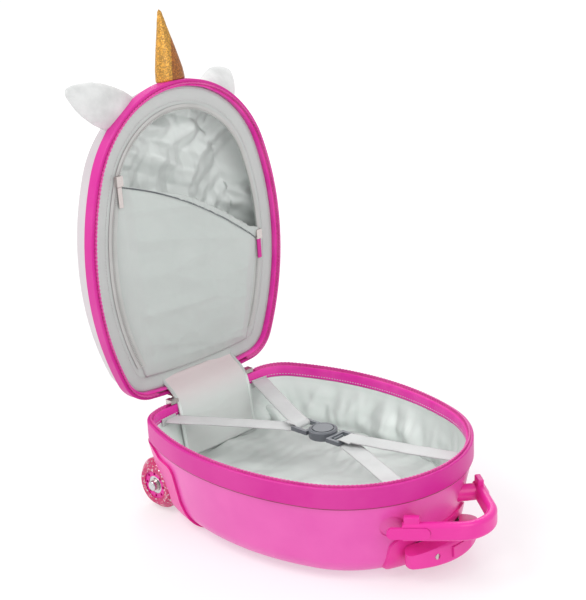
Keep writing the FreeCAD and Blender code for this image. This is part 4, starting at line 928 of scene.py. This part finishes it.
class SUITCASE_OT_pocket(SuitcaseStep, bpy.types.Operator):
    """Sew the lid pocket: surround, arched zip and the loose flap that hangs from it"""

    bl_idname = "suitcase.pocket"
    bl_label = "Sew pocket"

    # The zip's foot, the flap's hem at the hinge end, the two sliders and the flap's droop.
    FOOT_SETBACK, HEM_INSET, HEM_HALF = 0.045, 0.0265, 0.084
    LOW_END, HIGH_END, SAG = -0.031, 0.081, 0.042
    SEAMS = (0.0118, 0.0255)
    STITCH = (0.0013, 0.0004, 0.0004)
    FLAP_TOOTH = (0.0011, 0.0016, 0.0010)
    FLAP_TEETH = 120

    def build(self, case, sizes):
        self.front = case.lid_rim + sizes.pocket_depth
        self.foot = self.FOOT_SETBACK - sizes.case_length / 2
        self.ends = [Vector((self.LOW_END, case.half_width(sizes.pocket_inset, self.LOW_END))),
                     Vector((self.HIGH_END, -case.half_width(sizes.pocket_inset, self.HIGH_END)))]
        self.surround(case, sizes)
        self.zip(case, sizes)
        self.flap(case, sizes)

    def surround(self, case, sizes):
        """Slightly loose cloth between the binding and the pocket's zip, with two seams."""
        section = fine([(sizes.binding_in + 0.0004, self.front + 0.0004), (0.020, self.front + 0.0012),
                        (sizes.pocket_inset, self.front + 0.0006)], 0.0026)
        bm = case.swept(section, closed=False, pitch=0.0036)
        for vert in bm.verts:
            inset, run, _ = case.locate(vert.co)
            loose = math.sin(math.pi * smooth((inset - 0.008) / 0.028))
            vert.co.z += loose * 0.0022 * (folds(Vector((run * 15.0, inset * 26.0, 0.0)), 7) - 0.3)
        thing = cast("pocket_surround_cloth", case.swung(bm), "lid", "lining", ["pocket_surround"],
                     thick=CLOTH_WALL)
        seams = bmesh.new()
        for inset in self.SEAMS:
            sew(seams, case, inset, self.front - 0.0001, sizes.stitch_pitch, self.STITCH)
        cast("pocket_seams", case.swung(seams), "lid", "webbing")

    def zip(self, case, sizes):
        """Outer tape round the arch, inner tape only below the two sliders."""
        middle, half = sizes.pocket_inset, sizes.pocket_tape / 2
        high, low = self.front - 0.0001, self.front - 0.0009
        foot = Vector((self.foot, 0, 0))
        line = (self.ends[1] - self.ends[0]).normalized()
        hinge_side = Vector((line.y, -line.x, 0))
        if hinge_side.x > 0:
            hinge_side = -hinge_side
        tapes = bmesh.new()
        at_foot, at_sliders = (foot, Vector((1, 0, 0))), (self.ends[0].to_3d(), hinge_side)
        for inner, outer, cuts in ((middle - 0.0004, middle - half, [at_foot]),
                                   (middle + half, middle + 0.0004, [at_foot, at_sliders])):
            bm = case.swept(oblong(outer, inner, low, high), pitch=0.003)
            for place, keep in cuts:
                every = bm.verts[:] + bm.edges[:] + bm.faces[:]
                bmesh.ops.bisect_plane(bm, geom=every, plane_co=place, plane_no=keep, clear_inner=True)
                fill_holes(bm)
            part = mesh_from("part", bm)
            tapes.from_mesh(part)
            bpy.data.meshes.remove(part)
        cast("pocket_zip_tape", case.swung(tapes), "lid", "zip_grey", ["pocket_zip"], shade=False)
        teeth = bmesh.new()
        for spot, out in case.walk(middle, sizes.tooth_pitch):
            if spot.x < self.foot:
                continue
            below = (spot - self.ends[0]).dot(hinge_side.to_2d()) > 0
            shift, wide = (0.0, 0.0036) if below else (0.0010, 0.0022)
            place = Vector((spot.x, spot.y, low - 0.0004)) + out * shift
            add_box(teeth, frame_at(place, UP.cross(out), out, (0.0013, wide, 0.0014)))
        cast("pocket_zip_teeth", case.swung(teeth), "lid", "zip_grey", shade=False)

    def edge(self, share):
        """Point on the flap's drooping free edge, and the way out of the flap there."""
        first, last = self.ends
        control = 2 * Vector((self.SAG, 0.0)) - (first + last) / 2
        place = first * (1 - share) ** 2 + control * 2 * share * (1 - share) + last * share ** 2
        way = ((control - first) * (1 - share) + (last - control) * share).normalized()
        return place, Vector((-way.y, way.x))

    def flap(self, case, sizes):
        """Loose cloth sewn along the hinge end and both sides, free along its drooping top."""
        inset = sizes.pocket_inset + 0.0003
        end, radius = case.arcs[3][:2]
        bm = grid(84, 84)
        for vert in bm.verts:
            share, up = (vert.co.x + 1) / 2, (vert.co.y + 1) / 2
            top, _ = self.edge(share)
            low = self.HEM_HALF * (1 - 2 * share)
            sewn = Vector((end.x - math.sqrt((radius - self.HEM_INSET) ** 2 - low ** 2), low))
            spot = sewn.lerp(top, up)
            # The sides follow the zip, and close in to the hem near the hinge.
            wide = self.HEM_HALF + 0.0058 * smooth((spot.x + 0.160) / 0.020)
            if spot.x > -0.140:
                wide = case.half_width(inset, spot.x)
            if min(share, 1 - share) < 0.001 or abs(spot.y) > wide:
                spot.y = math.copysign(wide, 0.5 - share)
            vert.co = Vector((spot.x, spot.y, self.front - self.lift(spot, share, up)))
        thing = cast("pocket_flap_cloth", case.swung(bm), "lid", "lining", ["pocket_flap"], thick=0.0007)
        self.flap_tape(case)

    def lift(self, spot, share, up):
        """How far the flap stands in front of the pocket plane at a place."""
        held = min(1.0, 14 * share, 14 * (1 - share), 14 * up)
        belly = math.sin(math.pi * share) * (0.004 * smooth(up / 0.5) + 0.005 * smooth((up - 0.72) / 0.28))
        soft = folds(Vector((spot.x * 26.0 + 3 * spot.y, spot.y * 7.0, 0.0)), 8)
        small = folds(Vector((spot.x * 40.0, spot.y * 30.0, 0.0)), 9)
        return belly + held * (0.0058 * soft + 0.0022 * small)

    def flap_tape(self, case):
        """Zip tape and teeth along the flap's free edge, puckered towards its lower end."""
        bm, teeth = grid(150, 4), bmesh.new()
        for vert in bm.verts:
            share, over = (vert.co.x + 1) / 2, (vert.co.y + 1) / 2
            place, out = self.edge(0.01 + 0.98 * share)
            loose = smooth((0.78 - share) / 0.25)
            wave = noise.noise(Vector((share * 38.0, over * 1.2, 4.0)))
            wide = 0.0026 + loose * (0.0052 + 0.0016 * wave) + 0.006 * smooth((0.10 - share) / 0.08)
            spot = place + out * (wide * over - 0.0022)
            ruffle = loose * over * 0.0030 * noise.noise(Vector((share * 55.0, over * 2.5, 9.0)))
            height = self.front - self.lift(spot, share, 1.0) - 0.0011 + ruffle - 0.0020 * over * loose
            vert.co = Vector((spot.x, spot.y, height))
        for index in range(self.FLAP_TEETH):
            share = (index + 0.5) / self.FLAP_TEETH
            place, out = self.edge(0.01 + 0.98 * share)
            spot = place - out * 0.0012
            height = self.front - self.lift(spot, share, 1.0) - 0.0016
            along = Vector((-out.y, out.x, 0))
            place = Vector((spot.x, spot.y, height))
            add_box(teeth, frame_at(place, along, out.to_3d(), self.FLAP_TOOTH))
        return [cast("pocket_flap_tape", case.swung(bm), "lid", "lining", thick=CLOTH_WALL),
                cast("pocket_flap_teeth", case.swung(teeth), "lid", "grey_plastic", shade=False)]


class SUITCASE_OT_hinge(SuitcaseStep, bpy.types.Operator):
    """Lay the cloth panel, its piped edges and the outer tape over the hinge"""

    bl_idname = "suitcase.hinge"
    bl_label = "Lay hinge cloth"

    # Points of the panel as (along the case, height), from the lid down to the floor.
    PANEL = ((-0.2045, 0.1452), (-0.2010, 0.1402), (-0.1945, 0.1357), (-0.1865, 0.1302), (-0.1790, 0.1213),
             (-0.1748, 0.1090), (-0.1725, 0.0900), (-0.1690, 0.0660), (-0.1665, 0.0500))
    PANEL_ON_LID, PANEL_ON_BASE = Vector((-0.190, 0, 0.136)), Vector((-0.1745, 0, 0.107))
    PIPING_RADIUS = 0.0021
    PANEL_WALL, TAPE_WALL = 0.0012, 0.0009
    # Points of the outer tape as (behind the rim's end, height), from the base up.
    TAPE = ((0.0009, 0.104), (0.0009, 0.112), (0.0012, 0.1185), (0.0045, 0.1233), (0.0120, 0.1237),
            (0.0232, 0.1237))

    def build(self, case, sizes):
        path = [(Vector((along, 0, height)), ACROSS) for along, height in self.PANEL]
        bm, long = ribbon(path, 2 * sizes.panel_half, 44, 60)
        for vert in bm.verts:
            across = vert.co.y / sizes.panel_half
            belly = (1 - across ** 2) * math.sin(math.pi * smooth((0.1452 - vert.co.z) / 0.0952))
            crease = folds(Vector((vert.co.z * 38.0, vert.co.y * 11.0, 0.0)), 11)
            vert.co.x += 0.003 * belly + 0.0022 * (1 - abs(across) ** 3) * crease
        panel = cast("hinge_panel_cloth", bm, None, "hinge_cloth", ["hinge_panel"], thick=self.PANEL_WALL)
        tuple(self.PANEL_ON_LID)
        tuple(self.PANEL_ON_BASE)
        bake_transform(panel)
        for name, side in SIDES.items():
            edge = [(Vector(place) + ACROSS * side * sizes.panel_half, across) for place, across in path]
            cord = cast(f"hinge_panel_piping_{name}", self.tube(edge, self.PIPING_RADIUS), None, "lining")
            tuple(self.PANEL_ON_LID)
            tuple(self.PANEL_ON_BASE)
            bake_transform(cord)
        self.tape(sizes)

    def tube(self, points, radius):
        """Round piping along a smooth line."""
        rows = 60
        line, _ = smooth_path(points, rows)
        bm = grid(10, rows)
        for vert in bm.verts:
            row, angle = round((vert.co.y + 1) / 2 * rows), (vert.co.x + 1) * math.pi
            place, side = line[row]
            ahead = (line[min(rows, row + 1)][0] - line[max(0, row - 1)][0]).normalized()
            vert.co = place + radius * (side * math.cos(angle) + ahead.cross(side) * math.sin(angle))
        bmesh.ops.remove_doubles(bm, verts=bm.verts, dist=1e-5)
        fill_holes(bm)
        face_out(bm)
        return bm

    def tape(self, sizes):
        """Outer tape from the base band, round the fold and up to the lid band."""
        end = -sizes.case_length / 2
        path = [((end - behind, 0, height), ACROSS) for behind, height in self.TAPE]
        bm, long = ribbon(path, 2 * sizes.tape_half, 20, 40)
        tape = cast("hinge_tape_cloth", bm, None, "hinge_red", ["hinge_tape"], thick=self.TAPE_WALL)
        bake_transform(tape)


class SUITCASE_OT_straps(SuitcaseStep, bpy.types.Operator):
    """Thread the packing straps through the buckle's loops and sew their ends down"""

    bl_idname = "suitcase.straps"
    bl_label = "Thread straps"

    REAR_Y, FRONT_Y, RIM_GAP = 0.077, 0.050, 0.0012
    PATCH = (0.0235, 0.0014, 0.0100)
    SEAM = (0.0009, 0.0004, 0.0004)
    SEAM_ROW, SEAM_PITCH = 0.0036, 0.0024
    # Points round a buckle bar as (distance from the buckle, height over the webbing).
    BAR_TURN = ((0.050, -0.0032), (0.0385, -0.0036), (0.0345, -0.0034), (0.0312, 0.0), (0.0345, 0.0034))
    BAR_START = 0.0375

    def build(self, case, sizes):
        self.height, self.width = sizes.strap_height, sizes.strap_width
        buckle = Vector((0, BUCKLE_Y, sizes.strap_height))
        inset = sizes.binding_in + self.RIM_GAP
        rears, fronts = {}, {}
        for name, side in SIDES.items():
            rears[name] = self.rim(case.arcs[3], inset, side * self.REAR_Y, -1)
            fronts[name] = self.rim(case.arcs[0], inset, side * self.FRONT_Y, 1)
        both = bmesh.new()
        for name, side in SIDES.items():
            self.thread(both, buckle, rears[name], -1, side)
        cast("rear_straps_webbing", self.rippled(both), "base", "webbing", ["rear_straps"],
             thick=sizes.strap_wall)
        for name, side in SIDES.items():
            bm = bmesh.new()
            self.thread(bm, buckle, fronts[name], 1, side)
            strap = cast(f"front_strap_{name}_webbing", self.rippled(bm), None, "webbing",
                         [f"front_strap_{name}"], thick=sizes.strap_wall)
            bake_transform(strap)
        self.anchors(case, [*rears.values(), *fronts.values()])

    def rim(self, arc, inset, across, end):
        """Point inside the rim on the tip or hinge arc."""
        centre, radius = arc[:2]
        reach = math.sqrt((radius - inset) ** 2 - across ** 2)
        return Vector((centre.x + end * reach, across, self.height))

    def thread(self, bm, buckle, spot, end, side):
        """Webbing turned round a buckle bar and drawn straight to the rim."""
        ahead = Vector((end, 0, 0))
        across = UP.cross(ahead)
        way = spot - buckle - ahead * 0.036
        way = Vector((way.x, way.y, 0)).normalized()
        square = UP.cross(way)
        start = buckle + ahead * self.BAR_START
        path = [(buckle + ahead * step + UP * lift * side, across) for step, lift in self.BAR_TURN]
        path += [(start + UP * 0.0037 * side, across.lerp(square, 0.35)),
                 (start + way * 0.012 + UP * 0.0034 * side, across.lerp(square, 0.85)),
                 (start + way * 0.024 + UP * 0.0028 * side, square),
                 (start.lerp(spot, 0.55) + UP * 0.0012 * side, square),
                 (spot - way * 0.012 + UP * 0.0008 * side, square), (spot + UP * 0.0008 * side, square)]
        ribbon(path, self.width, 10, 200, bm)

    def rippled(self, bm):
        """Webbing with a slight ripple in its height."""
        for vert in bm.verts:
            vert.co += UP * 0.0004 * noise.noise(vert.co * 60)
        return bm

    def anchors(self, case, spots):
        """Stitched webbing squares that hold the strap ends to the binding."""
        patches, seams = bmesh.new(), bmesh.new()
        for spot in spots:
            _, _, inward = case.locate(spot)
            along = UP.cross(inward)
            place = spot + inward * 0.0008 - UP * 0.0018
            matrix = frame_at(place, along, inward, self.PATCH)
            made = bmesh.ops.create_cube(patches, size=1.0, matrix=matrix)["verts"]
            edges = list({edge for vert in made for edge in vert.link_edges})
            round_off(patches, edges, 0.0005, 2)
            face = place + inward * self.PATCH[1] / 2
            for row in (-self.SEAM_ROW, self.SEAM_ROW):
                for index in range(9):
                    stitch = face + along * (index - 4) * self.SEAM_PITCH + UP * row
                    add_stitch(seams, frame_at(stitch, along, inward, self.SEAM))
        cast("strap_anchor_patches", patches, "base", "webbing", ["strap_anchors"])
        cast("strap_anchor_seams", seams, "base", "zip_grey")


class SUITCASE_OT_stuffed(SuitcaseStep, bpy.types.Operator):
    """Stuff the glitter horn and the two ears at the top of the lid"""

    bl_idname = "suitcase.stuffed"
    bl_label = "Stuff horn and ears"

    # Rows of share of the length, half width and half depth, the last two as shares of the whole.
    HORN = ((0.0, 0.50, 0.50), (0.18, 0.46, 0.47), (0.35, 0.38, 0.40), (0.52, 0.295, 0.32),
            (0.70, 0.20, 0.22), (0.86, 0.125, 0.14), (1.0, 0.06, 0.07))
    EAR = ((0.0, 0.44, 0.40), (0.18, 0.50, 0.47), (0.35, 0.50, 0.50), (0.52, 0.47, 0.49), (0.66, 0.41, 0.44),
           (0.80, 0.305, 0.36), (0.92, 0.175, 0.23), (1.0, 0.06, 0.10))
    EAR_WAYS = {"left": (0.22, 0.80, 0.48), "right": (0.46, -0.87, 0.14)}
    HORN_LEAN, EAR_BEARING = math.radians(7), math.radians(31)
    HORN_RISE, EAR_RISE, SINK, DEEPEST = 0.013, 0.016, 0.004, 0.005
    MOST_SWELL, SEAM_DEPTH, PRESSURE, LAST_FRAME = 0.003, 0.016, 4.0, 20

    def build(self, case, sizes):
        tip, radius = case.arcs[0][:2]
        sink = self.SINK
        root = Vector((tip.x + radius - sink, 0, case.lid_rim + self.HORN_RISE))
        heading = Vector((math.cos(self.HORN_LEAN), 0, math.sin(self.HORN_LEAN)))
        self.make(case, "horn", "gold", root, heading, ACROSS, self.HORN,
                  (sizes.horn_length, sizes.horn_width, sizes.horn_depth), 0.85)
        for name, side in SIDES.items():
            out = outward(side * self.EAR_BEARING)
            root = tip.to_3d() + out * (radius - 4 * sink) + UP * (case.lid_rim + self.EAR_RISE)
            heading = Vector(self.EAR_WAYS[name])
            self.make(case, f"ear_{name}", "plush", root, heading, UP.cross(out), self.EAR,
                      (sizes.ear_length + 2 * sink, sizes.ear_width, sizes.ear_depth), 0.5)

    def make(self, case, name, slot, root, heading, broad, taper, extents, fill):
        """Closed skin that tapers from its seam on the rim, swollen."""
        long, wide, deep = extents
        heading = heading.normalized()
        broad = (broad - heading * broad.dot(heading)).normalized()
        thick = heading.cross(broad)
        bm = bmesh.new()
        bmesh.ops.create_uvsphere(bm, u_segments=40, v_segments=44, radius=1.0)
        for vert in bm.verts:
            flat = vert.co.to_2d()
            share = math.acos(max(-1.0, min(1.0, -vert.co.z))) / math.pi
            width, depth = self.shape(taper, share)
            out = flat.normalized() if flat.length > 1e-4 else flat * 0
            vert.co = (root + heading * share * long + broad * out.x * width * wide
                       + thick * out.y * depth * deep)
            inset, _, inward = case.locate(vert.co)
            vert.co -= inward * max(0.0, inset - self.DEEPEST)
        face_out(bm)
        thing = cast(f"{name}_stuffed", case.swung(bm), None, slot, [name])
        base = case.lid_point(root)
        self.puff(thing, base, case.lid_point(root + heading) - base, long)
        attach(thing, "lid")

    def shape(self, taper, share):
        """Half width and half depth at a share of the length, as shares of the whole ones."""
        for first, second in zip(taper, taper[1:]):
            if share <= second[0]:
                t = (share - first[0]) / (second[0] - first[0])
                return [a + (b - a) * t for a, b in zip(first[1:], second[1:])]
        return taper[-1][1:]

    def puff(self, thing, base, heading, long):
        """Swell the skin with a short cloth simulation held at its seam."""
        skin = thing.modifiers.new("Skin", "REMESH")
        skin.mode, skin.voxel_size = "VOXEL", long / 36
        self.keep(thing)
        rest = [vert.co.copy() for vert in thing.data.vertices]
        held = thing.vertex_groups.new(name="seam")
        near = [index for index, spot in enumerate(rest)
                if (spot - base).dot(heading) < self.SEAM_DEPTH]
        held.add(near, 1.0, "REPLACE")
        cloth = thing.modifiers.new("Stuffing", "CLOTH")
        cloth.settings.vertex_group_mass = "seam"
        cloth.settings.use_pressure = True
        cloth.settings.uniform_pressure_force = self.PRESSURE
        cloth.settings.effector_weights.gravity = 0.0
        cloth.settings.quality = 6
        cloth.point_cache.frame_start, cloth.point_cache.frame_end = 1, self.LAST_FRAME
        for step in range(1, self.LAST_FRAME + 1):
            bpy.context.scene.frame_set(step)
        self.keep(thing)
        bpy.context.scene.frame_set(1)
        thing.vertex_groups.clear()
        for vert, spot in zip(thing.data.vertices, rest):
            shift = vert.co - spot
            if shift.length > self.MOST_SWELL:
                vert.co = spot + shift.normalized() * self.MOST_SWELL
            share = (vert.co - base).dot(heading) / long
            tuck = math.exp(-(share / 0.10) ** 2)
            pucker = folds(Vector((vert.co.y * 60.0, vert.co.x * 60.0, vert.co.z * 22.0)), 13)
            vert.co += heading.cross(ACROSS).normalized() * 0.0014 * (pucker - 0.5) * (0.35 + tuck)
        round_it = thing.modifiers.new("Rounding", "SUBSURF")
        round_it.levels = round_it.render_levels = 1
        thing.data.polygons.foreach_set("use_smooth", [True] * len(thing.data.polygons))

    def keep(self, thing):
        """Make what the modifiers show the object's own mesh."""
        seen = bpy.context.evaluated_depsgraph_get()
        seen.update()
        mesh = bpy.data.meshes.new_from_object(thing.evaluated_get(seen), depsgraph=seen)
        thing.modifiers.clear()
        old, thing.data = thing.data, mesh
        bpy.data.meshes.remove(old)


class SUITCASE_OT_fittings(SuitcaseStep, bpy.types.Operator):
    """Add bolt heads over the axle ends and the buckle's raised rim"""

    bl_idname = "suitcase.fittings"
    bl_label = "Add fittings"

    # Sections are (radius, height) points.
    RIM = ((0.0129, -0.0004), (0.0132, 0.0010), (0.0140, 0.0014), (0.0152, 0.0011), (0.0163, 0.0001),
           (0.0165, -0.0006))
    CAP = ((0.0060, 0.0), (0.0058, 0.0007), (0.0050, 0.0014), (0.0034, 0.0018))
    HEXAGON_RADIUS, HEXAGON_RISE = 0.0026, 0.00185

    def build(self, case, sizes):
        self.buckle_rim()
        self.bolts()

    def buckle_rim(self):
        """Raised ring round the buckle's dial."""
        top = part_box("buckle_socket")[1].z
        bm = turned([(radius, top + rise) for radius, rise in self.RIM], BUCKLE_Y, 48, closed=True)
        face_out(bm)
        cast("buckle_rim", bm, "base", "buckle_grey")

    def bolts(self):
        """Domed bolt heads with a hexagon socket over the axle ends."""
        for name, side in SIDES.items():
            low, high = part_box(f"axle_{name}")
            face = high.y if side > 0 else low.y
            centre = Vector(((low.x + high.x) / 2, face, (low.z + high.z) / 2))
            turn = Matrix.Rotation(math.radians(-90 * side), 4, "X")
            bm = turned(self.CAP, 0, 36)
            fill_holes(bm)
            hexagon = Matrix.Translation((0, 0, self.HEXAGON_RISE))
            bmesh.ops.create_circle(bm, cap_ends=True, segments=6, radius=self.HEXAGON_RADIUS, matrix=hexagon)
            bmesh.ops.transform(bm, matrix=Matrix.Translation(centre) @ turn, verts=bm.verts)
            face_out(bm)
            cast(f"axle_cap_{name}", bm, "base", "steel")


class SUITCASE_OT_studio(bpy.types.Operator):
    """Set the floor, the soft boxes and the camera"""

    bl_idname = "suitcase.studio"
    bl_label = "Set studio"

    FLOOR_HALF, SENSOR = 14.0, 36.0
    NEAR_GLOW, FAR_GLOW = (0.51, 0.51, 0.51), (0.70, 0.70, 0.70)
    AIM = Vector((-0.05, 0, 0.2))

    def execute(self, context):
        scene, studio = context.scene, context.scene.suitcase_studio
        self.floor(scene.suitcase_colours)
        for name, place, size, power in (("key_light", (-0.9, -1.5, 2.3), 1.8, studio.key),
                                         ("fill_light", (1.9, -0.4, 1.7), 1.6, studio.fill),
                                         ("back_light", (-1.4, 1.6, 1.9), 1.6, studio.fill)):
            self.soft_box(name, place, size, power)
        world = bpy.data.worlds.new("studio")
        world.use_nodes = True
        sky = world.node_tree.nodes["Background"].inputs
        sky["Color"].default_value, sky["Strength"].default_value = (1, 1, 1, 1), studio.ambient
        scene.world = world
        scene.view_settings.view_transform = "Standard"
        scene.camera = self.camera(studio)
        return {"FINISHED"}

    def camera(self, studio):
        """Camera at the photograph's place, turned a little about its view."""
        place, target = Vector(studio.camera), Vector(studio.target)
        back = (place - target).normalized()
        right = UP.cross(back).normalized()
        turn = Matrix((right, back.cross(right), back)).transposed() @ Matrix.Rotation(studio.roll, 3, "Z")
        data = bpy.data.cameras.new("camera")
        data.lens, data.sensor_width = studio.lens, self.SENSOR
        camera = put("camera", data)
        camera.matrix_world = Matrix.Translation(place) @ turn.to_4x4()
        return camera

    def floor(self, tints):
        """Wide floor that is brighter far from the case."""
        bm = bmesh.new()
        bmesh.ops.create_grid(bm, x_segments=1, y_segments=1, size=self.FLOOR_HALF)
        mesh = mesh_from("floor", bm)
        finish = Finish("floor", roughness=0.6, specular_ior_level=0.1)
        cloud = finish.grain(1.2, 2.0)
        far = (finish.place("X") ** 2.0 + finish.place("Y") ** 2.0) ** 0.5
        finish.feed(base_color=finish.mix(cloud, toned(tints.floor, 0.99), tints.floor),
                    emission_strength=1.0,
                    emission_color=finish.mix(far.above(0.5, 2.6), self.NEAR_GLOW, self.FAR_GLOW))
        mesh.materials.append(finish.material)
        put("floor", mesh)

    def soft_box(self, name, place, size, power):
        """Round soft light aimed at the case."""
        data = bpy.data.lights.new(name, "AREA")
        data.shape, data.size, data.energy = "DISK", size, power
        light = put(name, data)
        aim = self.AIM - Vector(place)
        light.matrix_world = Matrix.Translation(place) @ aim.to_track_quat("-Z", "Y").to_matrix().to_4x4()


class SUITCASE_PT_panel(bpy.types.Panel):
    """Sizes, colours and building steps of the suitcase"""

    bl_label = "Suitcase"
    bl_idname = "SUITCASE_PT_panel"
    bl_space_type = "VIEW_3D"
    bl_region_type = "UI"
    bl_category = "Suitcase"

    def draw(self, context):
        for name in GROUPS:
            group = getattr(context.scene, name)
            box = self.layout.box()
            for key in group.__annotations__:
                box.prop(group, key)
        for step in STEPS:
            self.layout.operator(step.bl_idname)


STEPS = (SUITCASE_OT_finishes, SUITCASE_OT_rims, SUITCASE_OT_linings, SUITCASE_OT_pocket, SUITCASE_OT_hinge,
         SUITCASE_OT_straps, SUITCASE_OT_stuffed, SUITCASE_OT_fittings, SUITCASE_OT_studio)
GROUPS = {
    "suitcase_sizes": SuitcaseSizes,
    "suitcase_colours": SuitcaseColours,
    "suitcase_studio": SuitcaseStudio,
}
CLASSES = (*GROUPS.values(), *STEPS, SUITCASE_PT_panel)


def register():
    for item in CLASSES:
        bpy.utils.register_class(item)
    for name, group in GROUPS.items():
        setattr(bpy.types.Scene, name, PointerProperty(type=group))


def unregister():
    for name in GROUPS:
        delattr(bpy.types.Scene, name)
    for item in reversed(CLASSES):
        bpy.utils.unregister_class(item)


def main():
    register()
    for step in STEPS:
        family, name = step.bl_idname.split(".")
        getattr(getattr(bpy.ops, family), name)()


if __name__ == "__main__":
    main()
